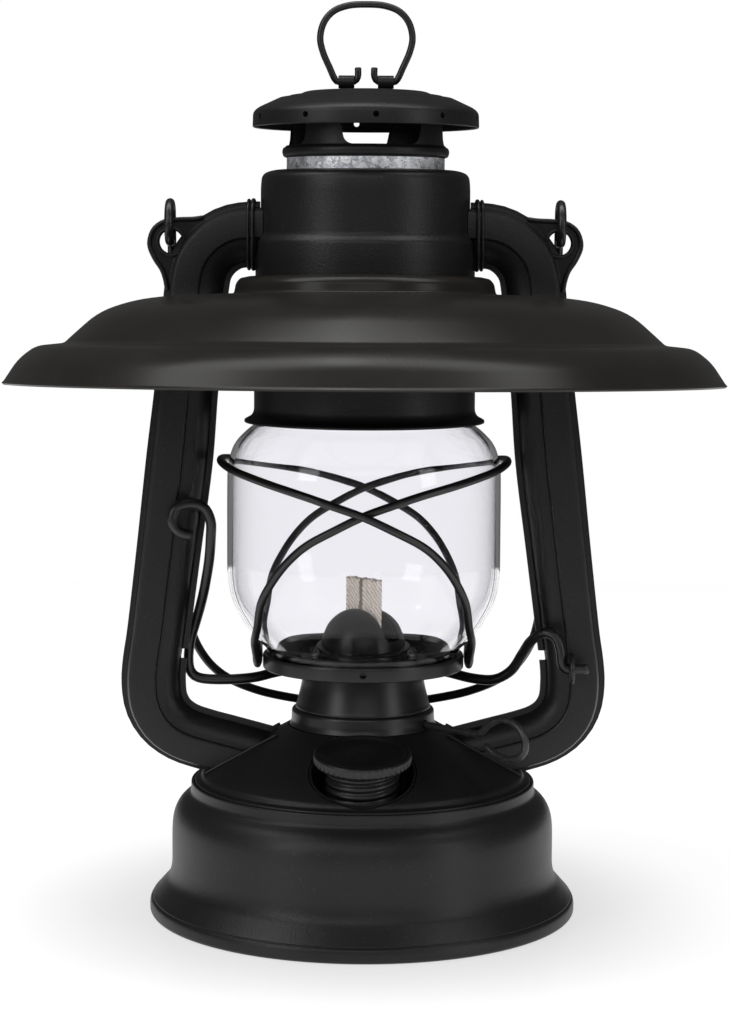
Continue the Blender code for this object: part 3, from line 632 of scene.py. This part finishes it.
def make_wick():
    """A flat ribbon: eight columns of slanting stitches on each face, ragged at its top."""
    half_width, half_depth, low = 7.5, 0.85, 60.0
    columns, stitch = 8, 1.55
    across, rows = 96, 150
    random.seed(7)
    ragged = [random.uniform(-0.45, 0.5) for _ in range(across + 1)]

    def relief(s, z):
        column = (s + half_width) / (2 * half_width) * columns
        part = column - math.floor(column)
        lean = part if math.floor(column) % 2 else 1.0 - part
        ridge = abs(math.sin(math.pi * (z / stitch + lean * 0.9)))
        return 0.55 * math.sin(math.pi * part) ** 0.5 * (0.45 + 0.55 * ridge)

    bm = bmesh.new()
    grids = []
    for face in (-1, 1):
        grid = []
        for j in range(rows + 1):
            row = []
            for i in range(across + 1):
                s = -half_width + 2 * half_width * i / across
                top = WICK_TOP - 0.6 + ragged[i]
                z = low + (top - low) * j / rows
                edge = (1.0 - abs(s / half_width) ** 10) ** 0.5
                bend = 0.5 * math.sin((z - 84.0) * 0.09)
                depth = face * (half_depth * edge + relief(s, z) * edge)
                row.append(bm.verts.new((s * MM, (depth + bend * 0.4) * MM, z * MM)))
            grid.append(row)
        grids.append(grid)
    for grid in grids:
        for j in range(rows):
            for i in range(across):
                bm.faces.new((grid[j][i], grid[j][i + 1], grid[j + 1][i + 1], grid[j + 1][i]))
    front, back = grids
    for i in range(across):
        bm.faces.new((front[rows][i], front[rows][i + 1], back[rows][i + 1], back[rows][i]))
        bm.faces.new((front[0][i + 1], front[0][i], back[0][i], back[0][i + 1]))
    for j in range(rows):
        bm.faces.new((front[j][0], front[j + 1][0], back[j + 1][0], back[j][0]))
        bm.faces.new((front[j + 1][across], front[j][across], back[j][across], back[j + 1][across]))
    bmesh.ops.remove_doubles(bm, verts=bm.verts, dist=0.000001)
    bmesh.ops.recalc_face_normals(bm, faces=bm.faces)
    mesh = finished_mesh(bm, "wick_look")
    mesh.shade_smooth()
    place(new_object("wick_look", mesh, COTTON, WICK_MATRIX), "wick", ["wick"])

    fringe = bpy.data.curves.new("wick_fringe", "CURVE")
    fringe.dimensions = "3D"
    fringe.bevel_depth = 0.00007
    fringe.bevel_resolution = 1
    fringe.use_fill_caps = True
    for _ in range(70):
        s, depth = random.uniform(-7.2, 7.2), random.uniform(-0.9, 0.9)
        lean, side, rise = random.uniform(-0.7, 0.7), random.uniform(-0.5, 0.5), random.uniform(0.5, 1.3)
        spline = fringe.splines.new("POLY")
        spline.points.add(3)
        for k, point in enumerate(spline.points):
            t = k / 3
            point.co = ((s + lean * t * t) * MM, (depth + side * t * t) * MM,
                        (WICK_TOP - 1.2 + rise * t) * MM, 1.0)
    place(new_object("wick_fringe", fringe, COTTON, WICK_MATRIX), "wick")


def make_winder():
    route = (
        (-9.0, 0.0), (6.0, 0.0), (22.0, 0.0), (38.0, 0.0), (44.6, 0.3), (48.6, 3.6), (53.6, 6.0),
        (59.4, 5.2), (63.2, 1.2), (62.6, -3.2), (57.8, -5.6), (51.8, -5.2), (47.4, -3.0))
    place_on_shaft = Matrix.Translation(Vector(SHAFT_FOOT)) @ WICK_MATRIX
    points = [place_on_shaft @ Vector((s, 0.0, h)) for s, h in route]
    place(wire("wick_knob_look", points, 1.1, STEEL), "wick_winder", ["wick_knob"])


# ---------------------------------------------------------------- air tubes

TUBE_LINE = (
    (26.0, 212.0, 20.2), (36.0, 212.0, 20.2), (42.1, 210.8, 20.0), (47.3, 207.3, 20.0),
    (50.8, 202.1, 20.0), (52.2, 195.0, 19.9), (53.6, 181.0, 19.7), (55.4, 164.0, 19.8),
    (57.6, 142.0, 20.8), (60.8, 115.5, 20.2), (64.1, 89.0, 19.8), (65.5, 79.0, 20.0),
    (65.9, 72.0, 20.2), (65.0, 65.3, 20.0), (61.8, 59.8, 19.6), (56.6, 56.0, 19.3),
    (50.0, 53.7, 19.2), (42.5, 51.7, 19.2), (32.0, 48.9, 19.2), (20.0, 45.7, 19.2))
# Half of the pressing from its inner flange to its outer one: across, and off the seam plane
PRESSING = ((-9.9, 0.85), (-8.6, 0.85), (-8.25, 0.95), (-8.0, 1.5), (-7.6, 3.2), (-6.6, 4.8),
            (-5.0, 6.1), (-3.2, 6.9), (-1.9, 7.15), (-1.4, 7.15), (-1.15, 8.3), (-0.7, 8.6), (6.0, 8.6),
            (6.9, 8.3), (7.5, 7.0), (7.8, 4.0), (8.0, 1.8), (8.3, 1.0), (8.8, 0.85), (9.9, 0.85))


def pressing_section(width):
    scale = width / 19.8
    outer = [(u * scale, v) for u, v in PRESSING]
    lining = [(u * scale * 0.90, max(v - 0.7, SEAM_GAP)) for u, v in reversed(PRESSING[2:-2])]
    return outer + [(outer[-1][0], SEAM_GAP)] + lining + [(outer[0][0], SEAM_GAP)]


def clearance_tools():
    tank = ((0.0, 60.0), (23.3, 59.2), (26.2, 57.7), (38.0, 51.2), (50.5, 43.9), (51.2, 42.6),
            (54.2, 42.1), (54.3, 37.9), (58.0, 35.0), (61.0, 28.0), (61.0, 20.0), (0.0, 20.0))
    bell = ((0.0, 240.0), (32.5, 240.0), (32.5, 211.9), (34.2, 210.3), (34.2, 180.0), (0.0, 180.0))
    return turned("tool", tank, SATIN, 144), turned("tool", bell, SATIN, 144)


def make_tube_half(label, side, layer, face):
    name = f"{label}_tube_{layer}"
    stations = smooth_line([(x, z, width) for x, z, width in TUBE_LINE], 2.4)
    bm = bmesh.new()
    rings = []
    for i, (x, z, width) in enumerate(stations):
        before, after = stations[max(i - 1, 0)], stations[min(i + 1, len(stations) - 1)]
        ahead = Vector((after[0] - before[0], 0.0, after[1] - before[1]))
        across = Vector((-ahead.z, 0.0, ahead.x)).normalized()
        ring = []
        for u, v in pressing_section(width):
            point = Vector((x, 0.0, z)) + across * u + Vector((0.0, face * v, 0.0))
            ring.append(bm.verts.new((side * point.x * MM, point.y * MM, point.z * MM)))
        rings.append(ring)
    for first, second in zip(rings, rings[1:]):
        for k in range(len(first)):
            n = (k + 1) % len(first)
            bm.faces.new((first[k], first[n], second[n], second[k]))
    for end in (rings[0], rings[-1]):
        bm.faces.new(end)
    bmesh.ops.recalc_face_normals(bm, faces=bm.faces)
    half = new_object(name + "_look", finished_mesh(bm, name + "_look"), SATIN)
    notch = tool_box((min(side * 50.0, side * 57.3), -1.6, 79.4),
                     (max(side * 50.0, side * 57.3), 1.6, 82.6))
    carve(half, *clearance_tools(), notch, angle=28.0)
    return place(half, "frame", [name])


EAR_OUTLINE = ((50.6, 217.3), (53.5, 216.9), (58.3, 216.7), (62.6, 216.0), (65.6, 213.8),
               (66.9, 210.6), (66.8, 207.9), (65.2, 204.4), (63.2, 201.4), (62.1, 198.2),
               (61.6, 195.2))
EAR_HOLE = (60.0, 209.7)


def make_ear(label, side):
    """The bail's ear: two sheets clenched round their outer edge, with an eyelet in the hole."""
    outline = smooth_line([(side * x, 0.0, z) for x, z in EAR_OUTLINE], 1.2)
    inner_edge = smooth_line([(side * x, 0.0, z) for x, z in (
        (60.9, 195.4), (60.2, 201.5), (57.8, 208.0), (54.5, 212.9), (50.6, 216.0))], 2.0)
    for layer, face in (("front", -1), ("back", 1)):
        bm = bmesh.new()
        loop = [bm.verts.new((p.x * MM, face * SEAM_GAP * MM, p.z * MM)) for p in outline + inner_edge]
        grown = bmesh.ops.extrude_face_region(bm, geom=[bm.faces.new(loop)])["geom"]
        corners = [item for item in grown if isinstance(item, bmesh.types.BMVert)]
        bmesh.ops.translate(bm, vec=(0.0, face * 0.75 * MM, 0.0), verts=corners)
        bmesh.ops.recalc_face_normals(bm, faces=bm.faces)
        name = f"{label}_ear_{layer}"
        ear = new_object(name, finished_mesh(bm, name), SATIN)
        across = Matrix.Translation((side * EAR_HOLE[0] * MM, 0.0, EAR_HOLE[1] * MM))
        across = across @ Matrix.Rotation(math.pi / 2, 4, "X")
        carve(ear, tool_rods([across], 3.6, 10.0, 48))
        place(ear, "frame")

        rim = [(p.x - side * 0.35, face * 1.0, p.z - 0.2) for p in outline]
        place(wire(f"{label}_ear_bead_{layer}", rim, 0.75, SATIN), "frame")
        eyelet = [(side * EAR_HOLE[0] + 4.2 * math.cos(TAU * i / 16), face * 1.0,
                   EAR_HOLE[1] + 4.2 * math.sin(TAU * i / 16)) for i in range(16)]
        place(wire(f"{label}_eyelet_{layer}", eyelet, 0.6, SATIN, 1.0, True), "frame")


def squared(reach, share):
    """One coordinate of a loop between an ellipse and a box."""
    return math.copysign(reach * abs(share) ** 0.62, share)


def make_tubes():
    for side, label in ((-1, "left"), (1, "right")):
        for layer, face in (("front", -1), ("back", 1)):
            make_tube_half(label, side, layer, face)
        make_ear(label, side)
        for number, (offset, size) in enumerate(((34.5, 0.6), (35.9, 0.45))):
            ring = [(side * offset, squared(9.3, math.cos(TAU * i / 24)),
                     PORT_HEIGHT + squared(10.6, math.sin(TAU * i / 24))) for i in range(24)]
            socket = wire(f"{label}_socket_bead_{number}", ring, size, SATIN, 1.4, True)
            place(socket, "frame", [] if number else [f"{label}_tube_socket"])
        for layer, face in (("front", -1), ("back", 1)):
            foot = []
            for x in (26.5, 33.0, 40.0, 45.0, 49.2):
                fall = (math.hypot(x, 8.7) - 26.2) / 24.3
                foot.append((side * x, face * 8.7, 57.9 - 13.8 * fall))
            place(wire(f"{label}_foot_seam_{layer}", foot, 0.55, SATIN), "frame")


# ---------------------------------------------------------------- bell and spring

def make_bell():
    bell = rounded((
        (24.9, 231.9, 0.2), (28.4, 231.8, 1.6), (31.9, 230.6, 1.8), (32.3, 226.6, 1.5),
        (32.3, 212.2, 1.0), (33.95, 210.2, 0.9), (33.95, 197.9, 0.2), (33.2, 197.9),
        (33.2, 209.8), (31.5, 211.8), (31.5, 226.6), (31.0, 229.8), (28.2, 231.0), (24.9, 231.1)))
    chamber = turned("bell_look", bell, SATIN)
    across = Matrix.Translation((0.0, 0.0, PORT_HEIGHT * MM)) @ Matrix.Rotation(math.pi / 2, 4, "Y")
    ports = tool_rods([across], 6.5, 90.0, 48)
    rim_holes = tool_rods([around(26.9, 231.4, TAU * i / 24, 0.0) for i in range(24)], 0.55, 3.0, 12)
    carve(chamber, ports, rim_holes)
    place(chamber, "frame", ["bell"])
    skirt = rounded((
        (33.3, 197.6), (35.0, 197.2, 0.6), (38.4, 196.0, 0.8), (39.4, 194.6, 0.6),
        (39.4, 188.6, 0.2), (38.7, 188.5), (38.7, 194.4), (38.0, 195.3), (34.8, 196.4), (33.3, 196.8)))
    place(turned("bell_skirt_look", skirt, SATIN), "frame", ["bell_skirt"])


def make_spring():
    """The coil in two halves: the upper one rides on the frame, the lower one on the carriage."""
    low, middle, high, radius = 177.4, 203.4, 229.4, 28.0
    for label, body, joint, foot, head in (("upper", "frame", "globe_lift", middle, high),
                                           ("lower", "carriage", "hood_lift", low, middle)):
        turns, per_turn = 3.5, 24
        start = 0.0 if label == "lower" else math.pi
        steps = round(turns * per_turn)
        angles = [start + TAU * i / per_turn for i in range(steps + 1)]
        coil = [(radius * math.cos(a), radius * math.sin(a), foot + (head - foot) * i / steps)
                for i, a in enumerate(angles)]
        half = as_mesh(wire(f"chimney_spring_{label}", coil, 0.6, STEEL, 3.0))
        place(half, body, ["chimney_spring"] if label == "upper" else [])
        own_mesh(half)


# ---------------------------------------------------------------- globe carriage

def make_plate():
    ring = rounded((
        (15.6, 82.3, 0.2), (16.4, 82.3, 0.4), (17.0, 80.9, 0.5), (19.0, 80.7, 0.4),
        (19.6, 81.3, 0.3), (20.4, 81.3, 0.3), (21.0, 80.6, 0.4), (24.4, 80.5, 0.8), (26.0, 83.2, 0.5),
        (27.3, 83.8, 0.4), (27.9, 83.0, 0.4), (28.0, 80.1, 0.4), (30.3, 79.9, 0.4),
        (30.6, 81.5, 0.3), (31.3, 81.6, 0.3), (31.5, 80.9, 0.5), (31.5, 77.4, 0.3),
        (31.2, 77.1, 0.2), (30.9, 77.4), (30.7, 79.1), (27.3, 79.3), (27.1, 82.4), (26.5, 82.3),
        (25.0, 79.8), (16.5, 80.0), (15.6, 81.3)))
    plate = turned("globe_plate_look", ring, SMOOTH)
    front = tool_rods([around(31.2, 79.4, -math.pi / 2)], 1.0, 3.0)
    vents = tool_rods([around(22.6, 80.4, TAU * (i + 0.5) / 30, 0.0) for i in range(30)], 0.9, 5.0, 16)
    carve(plate, front, vents)
    place(plate, "carriage", ["globe_plate"])
    for side, label in ((-1, "left"), (1, "right")):
        lay = Matrix.Translation((side * 33.2 * MM, 0.0, 80.9 * MM)) @ Matrix.Rotation(math.pi / 2, 4, "Y")
        lug = rounded(((0.0, 1.5), (2.4, 1.5, 0.4), (4.0, 0.9, 0.6), (4.4, 0.0, 0.5), (4.0, -0.9, 0.6),
                       (2.4, -1.5, 0.4), (0.0, -1.5)))
        place(turned(f"guard_tab_{label}_look", lug, SMOOTH, 48, closed=False, matrix=lay), "carriage",
              [f"guard_tab_{label}"])


def make_globe():
    glass = rounded((
        (33.0, 158.0, 0.7), (33.4, 153.9, 1.0), (36.2, 151.9, 1.5), (40.6, 147.6, 3.0),
        (42.6, 141.0, 4.0), (42.7, 130.0), (42.7, 106.0, 5.0), (41.3, 98.0, 4.0), (36.2, 89.0, 4.0),
        (30.3, 83.4, 1.4), (30.0, 80.5, 0.5), (28.4, 80.5, 0.5), (28.7, 83.8, 1.4),
        (34.9, 90.2, 4.0), (39.7, 98.6, 4.0), (41.1, 106.2, 5.0), (41.1, 130.0), (41.0, 140.6, 4.0),
        (39.2, 146.4, 3.0), (35.2, 150.6, 1.5), (31.9, 153.2, 1.0), (31.4, 158.0, 0.7)), 6)
    place(turned("globe_look", glass, GLASS), "carriage", ["globe"])


def make_guards():
    stations = (
        (9.5, 33.4, 79.4), (16.0, 34.6, 82.5), (26.0, 37.2, 87.5), (37.0, 40.4, 93.0),
        (46.0, 44.2, 101.8), (53.0, 44.8, 109.0), (60.0, 45.0, 115.0), (68.0, 45.0, 120.2),
        (79.0, 44.9, 125.0), (90.0, 44.8, 129.3), (101.0, 44.8, 132.4), (112.0, 44.8, 135.0),
        (129.0, 44.8, 137.8), (150.0, 44.7, 140.3), (166.0, 44.7, 141.8))
    for side, label in ((-1, "left"), (1, "right")):
        half = []
        for angle, radius, height in stations:
            if side > 0:
                radius += 2.9 * max(0.0, math.cos(math.radians(min(90.0, abs(angle - 90) * 2))))
            turn = math.radians(angle)
            half.append((side * radius * math.cos(turn), -radius * math.sin(turn), height))
        back = [(x, -y, z) for x, y, z in reversed(half)]
        hoop = wire(f"guard_hoop_{label}_look", half + [(-side * 44.7, 0.0, 142.3)] + back, 1.25, WIRE)
        place(hoop, "carriage", [f"guard_hoop_{label}"])


# ---------------------------------------------------------------- hood and ring

def make_hood():
    cap = rounded((
        (24.75, 176.0), (31.6, 175.9, 1.4), (34.2, 174.9, 1.4), (34.35, 172.0, 0.8),
        (34.35, 157.8, 0.9), (35.1, 156.2, 0.8), (37.35, 155.0, 0.3), (37.35, 154.2, 0.2),
        (36.9, 154.2), (34.7, 155.6), (33.75, 157.4), (33.75, 172.4), (33.5, 174.3), (31.5, 175.3),
        (24.75, 175.4)))
    place(turned("globe_cap_look", cap, SATIN), "hood", ["globe_cap"])
    flue = ((24.35, 235.5), (24.35, 170.0), (23.75, 170.0), (23.75, 235.5))
    place(turned("chimney_tube_look", flue, ZINC), "hood", ["chimney_tube"])

    band = rounded((
        (24.5, 252.8), (24.5, 239.0, 0.5), (25.5, 238.5, 0.5), (25.8, 237.3, 0.8), (25.4, 236.0, 0.5),
        (24.9, 235.7, 0.2), (23.9, 235.7), (23.8, 239.0), (23.8, 252.8)))
    vent = turned("vent_ring_look", band, SATIN, 192)
    first_window = 12.7
    turns = [Matrix.Rotation(math.radians(first_window + 90.0 * k), 4, "Z") for k in range(4)]
    windows = [tool_box((-11.3, -30.0, 239.2), (11.3, -15.0, 252.0), turn, 2.2, 0.22) for turn in turns]
    carve(vent, *windows)
    place(vent, "hood", ["vent_ring"])

    dome = rounded((
        (0.0, 256.6), (9.0, 256.4, 1.0), (18.6, 255.75, 1.2), (20.4, 254.9, 0.8), (23.6, 254.5, 0.8),
        (24.4, 254.0, 0.6), (26.4, 253.9, 0.6), (33.3, 250.7, 1.2), (34.7, 249.3, 0.9),
        (34.85, 245.0, 0.35), (34.55, 244.7, 0.2), (34.2, 245.0), (34.1, 249.0), (33.0, 250.0),
        (26.2, 253.1), (23.2, 253.5), (18.6, 254.9), (0.0, 255.7)))
    hood = turned("hood_look", dome, SATIN, closed=False)
    holes = [around(34.5, 247.5, math.radians(-85.0 + 36.0 * k), math.radians(88)) for k in range(10)]
    carve(hood, tool_rods(holes, 0.9, 3.6, 20))
    place(hood, "hood", ["hood"])


def make_ring():
    for side, label in ((-1, "left"), (1, "right")):
        lay = Matrix.Translation((side * 6.05 * MM, 0.0, RING_PIVOT[2] * MM))
        roll = rounded(((2.0, 2.45, 0.25), (2.0, -2.45, 0.25), (1.4, -2.45, 0.1), (1.4, 2.45, 0.1)))
        place(turned(f"ring_eye_{label}_look", roll, SATIN, 48,
                     matrix=lay @ Matrix.Rotation(math.pi / 2, 4, "Y")), "hood",
              [f"ring_eye_{label}"])
    line = ((2.5, 262.9), (2.5, 260.7), (3.1, 259.3), (4.6, 258.75), (8.2, 258.75), (9.6, 259.6),
            (11.3, 263.2), (13.3, 267.8), (14.15, 272.2), (13.0, 276.8), (10.0, 280.2), (5.4, 281.9))
    right = [(x, 0.0, z) for x, z in line]
    left = [(-x, 0.0, z) for x, z in reversed(line)]
    ring = wire("top_ring_look", right + [(0.0, 0.0, 282.25)] + left, 1.05, WIRE, 0.9)
    place(ring, "top_ring", ["top_ring"])


# ---------------------------------------------------------------- lever, bail and shade

def make_lever():
    route = (
        (-53.2, -12.6, 119.6), (-57.0, -12.8, 121.0), (-59.0, -12.8, 124.4),
        (-57.9, -12.4, 128.0), (-53.6, -11.8, 129.4), (-49.4, -11.0, 128.3),
        (-47.3, -10.4, 124.0), (-47.3, -9.4, 119.0), (-48.0, -6.8, 111.3),
        (-49.6, -3.0, 102.5), (-51.2, 0.8, 96.0), (-53.0, 3.6, 90.0), (-54.6, 5.0, 84.5),
        (-55.3, 5.6, 78.5), (-54.6, 6.0, 74.2), (-51.4, 6.3, 72.0), (-43.1, 6.6, 71.6),
        (-34.5, 8.6, 72.0), (-27.5, 13.0, 73.0), (-18.0, 19.8, 73.6), (-8.5, 22.8, 73.7),
        (0.0, 23.6, 73.7), (8.5, 22.8, 73.7), (18.0, 19.8, 73.6), (26.5, 13.6, 73.2),
        (34.8, 7.5, 72.2), (41.5, 3.4, 72.6), (46.6, 0.2, 76.0), (49.7, -3.2, 81.6),
        (52.2, -7.6, 86.6), (56.0, -11.6, 89.9), (59.6, -13.4, 88.6), (61.2, -14.2, 84.0),
        (61.4, -14.3, 80.8), (62.6, -14.3, 79.1), (65.5, -14.3, 78.9), (69.3, -14.3, 78.9))
    place(wire("lift_lever_look", route, 1.6, WIRE), "lever", ["lift_lever"])

    stand = Matrix.Translation(Vector(LEVER_PIVOT) * MM) @ Matrix.Rotation(math.pi / 2, 4, "Y")
    disc = rounded(((1.95, 0.8, 0.15), (1.95, -0.8, 0.15), (4.9, -0.8, 0.5), (5.2, 0.0, 0.3),
                    (4.9, 0.8, 0.5)))
    place(turned("lever_eye_look", disc, SMOOTH, 64, matrix=stand), "frame", ["lever_eye"])


def make_bail():
    arm = (
        (60.3, 3.4, 209.5), (60.3, 0.0, 209.6), (60.3, -3.4, 210.3), (60.3, -5.9, 213.2),
        (60.3, -6.0, 217.0), (60.3, -3.6, 220.5), (60.3, 0.6, 221.7), (60.3, 4.8, 219.9),
        (60.4, 7.2, 215.6), (60.4, 8.4, 209.0), (60.4, 10.0, 202.0), (60.3, 12.2, 193.0),
        (60.0, 13.6, 180.0), (59.4, 14.6, 160.0), (58.8, 15.8, 140.0), (57.8, 18.6, 108.0),
        (56.4, 22.0, 89.0), (52.8, 25.2, 77.8), (45.8, 28.6, 69.4), (34.6, 31.6, 63.8),
        (20.0, 33.6, 60.4), (8.0, 34.3, 58.9))
    left = [(-x, y, z) for x, y, z in reversed(arm)]
    bail = wire("bail_look", list(arm) + [(0.0, 34.4, 58.7)] + left, 1.4, WIRE)
    place(bail, "bail", ["bail"])


def make_shade():
    outline = rounded((
        (37.6, 33.0), (40.3, 32.4, 0.8), (41.5, 30.8, 0.8), (42.0, 27.7, 0.8), (60.3, 27.1, 6.0),
        (71.6, 25.6, 5.0), (82.2, 22.0, 5.0), (90.8, 14.3, 2.5), (92.8, 12.4, 1.0),
        (101.4, 11.5, 2.6), (106.8, 7.4, 3.0), (111.2, 0.75, 0.3), (111.8, 0.2)), 5)
    shade = turned("shade_look", sheet_profile(outline, 0.7), GLOSS, 192, matrix=SHADE_FRAME)
    slots = [tool_box((min(side * 30.0, side * 70.5), -11.6, 150.0),
                      (max(side * 30.0, side * 70.5), 18.0, 230.0)) for side in (-1, 1)]
    carve(shade, *slots)
    place(shade, "shade", ["shade"])


# ---------------------------------------------------------------- stage

def area_light(name, location, target, size, power, colour=(1.0, 1.0, 1.0)):
    light = bpy.data.lights.new(name, "AREA")
    light.shape = "RECTANGLE"
    light.size, light.size_y = size
    light.energy = power
    light.color = colour
    obj = bpy.data.objects.new(name, light)
    obj.location = location
    look = Vector(target) - Vector(location)
    obj.rotation_euler = look.to_track_quat("-Z", "Y").to_euler()
    bpy.context.scene.collection.objects.link(obj)
    return obj


# Strengths of the surround beside the 1.0 at which the camera sees it
AMBIENT = 0.08
THROUGH_GLASS = 0.22
FLOOR_RADIUS, FLOOR_GAP = 0.8, 0.0002
# Painted shadow round the base: distance from the lantern's axis, and how strongly the floor glows there;
# the glow is least near the base
PAINTED_SHADOW_CORE, PAINTED_SHADOW_END = (0.055, 0.62), (0.125, 0.83)


def make_stage():
    """A white surround that is seen in full but lights the lantern only a little."""
    world = bpy.data.worlds.new("studio")
    world.use_nodes = True
    tree = world.node_tree
    tree.nodes.clear()
    output = tree.nodes.new("ShaderNodeOutputWorld")
    rays = tree.nodes.new("ShaderNodeLightPath")
    bounces = math_node(tree, "ADD", rays.outputs["Diffuse Depth"], rays.outputs["Glossy Depth"])
    seen = math_node(tree, "LESS_THAN", bounces, 0.5)
    through = math_node(tree, "MULTIPLY", rays.outputs["Is Transmission Ray"], THROUGH_GLASS)
    least = math_node(tree, "MAXIMUM", through, AMBIENT)
    brightness = math_node(tree, "MAXIMUM", seen, least)
    sky = tree.nodes.new("ShaderNodeBackground")
    sky.inputs["Color"].default_value = (1.0, 1.0, 1.0, 1.0)
    tree.links.new(brightness, sky.inputs["Strength"])
    tree.links.new(sky.outputs["Background"], output.inputs["Surface"])
    bpy.context.scene.world = world
    bpy.context.scene.view_settings.view_transform = "Standard"

    bm = bmesh.new()
    bmesh.ops.create_circle(bm, cap_ends=True, segments=96, radius=FLOOR_RADIUS)
    material, tree, shader = node_material("pale_floor")
    shader.inputs["Base Color"].default_value = (0.35, 0.35, 0.35, 1.0)
    shader.inputs["Roughness"].default_value = 0.22
    shader.inputs["Emission Color"].default_value = (1.0, 1.0, 1.0, 1.0)
    away = tree.nodes.new("ShaderNodeVectorMath")
    away.operation = "LENGTH"
    tree.links.new(object_place(tree), away.inputs[0])
    # The floor glows less near the base: a painted shadow under the lantern.
    shadowed_glow = tree.nodes.new("ShaderNodeMapRange")
    shadowed_glow.interpolation_type = "SMOOTHSTEP"
    for end, (distance, strength) in (("Min", PAINTED_SHADOW_CORE), ("Max", PAINTED_SHADOW_END)):
        shadowed_glow.inputs[f"From {end}"].default_value = distance
        shadowed_glow.inputs[f"To {end}"].default_value = strength
    tree.links.new(away.outputs["Value"], shadowed_glow.inputs["Value"])
    tree.links.new(shadowed_glow.outputs["Result"], shader.inputs["Emission Strength"])
    floor = new_object("floor", finished_mesh(bm, "floor"), material)
    floor.location.z = -FLOOR_GAP

    centre = (0.0, 0.0, 0.14)
    area_light("overhead_left", (-0.62, -0.1, 1.6), centre, (0.6, 1.3), 12.0)
    area_light("overhead_right", (0.42, -0.1, 1.6), centre, (0.5, 1.3), 9.5)
    area_light("front_high", (-0.15, -1.5, 1.25), centre, (1.5, 0.5), 3.8)
    area_light("key_left", (-1.1, -1.0, 0.75), centre, (0.5, 1.1), 6.5)
    area_light("fill_right", (1.3, -0.9, 0.55), centre, (0.4, 1.1), 4.5)
    area_light("front_low", (0.15, -1.8, 0.8), centre, (1.4, 0.5), 2.2)


CAMERA_PLACE = (0.0005, -0.79524, 0.21052)
CAMERA_DIP, CAMERA_ROLL = 6.07, 0.3


def make_camera():
    camera = bpy.data.cameras.new("camera")
    camera.sensor_fit = "VERTICAL"
    camera.sensor_height = 36.0
    camera.lens = 89.93
    camera.clip_start = 0.05
    obj = bpy.data.objects.new("camera", camera)
    bpy.context.scene.collection.objects.link(obj)
    pitch = math.radians(90.0 - CAMERA_DIP)
    turn = Matrix.Rotation(pitch, 4, "X") @ Matrix.Rotation(math.radians(CAMERA_ROLL), 4, "Z")
    obj.matrix_world = Matrix.Translation(CAMERA_PLACE) @ turn
    bpy.context.scene.camera = obj


def dress_kept_nodes():
    """The CAD nodes that stay, all of them inside the lantern, get their materials."""
    kept = {"air_chamber_floor": ZINC, "wick_tube": ZINC, "spur_wheel_1": STEEL, "spur_wheel_2": STEEL}
    for name, material in kept.items():
        data = frame["nodes"][name].data
        data.materials.clear()
        data.materials.append(material)


make_camera()
make_stage()
make_tank()
make_filler()
make_burner()
make_wick()
make_winder()
make_tubes()
make_bell()
make_spring()
make_plate()
make_globe()
make_guards()
make_hood()
make_ring()
make_lever()
make_bail()
make_shade()
dress_kept_nodes()

bpy.context.view_layer.update()
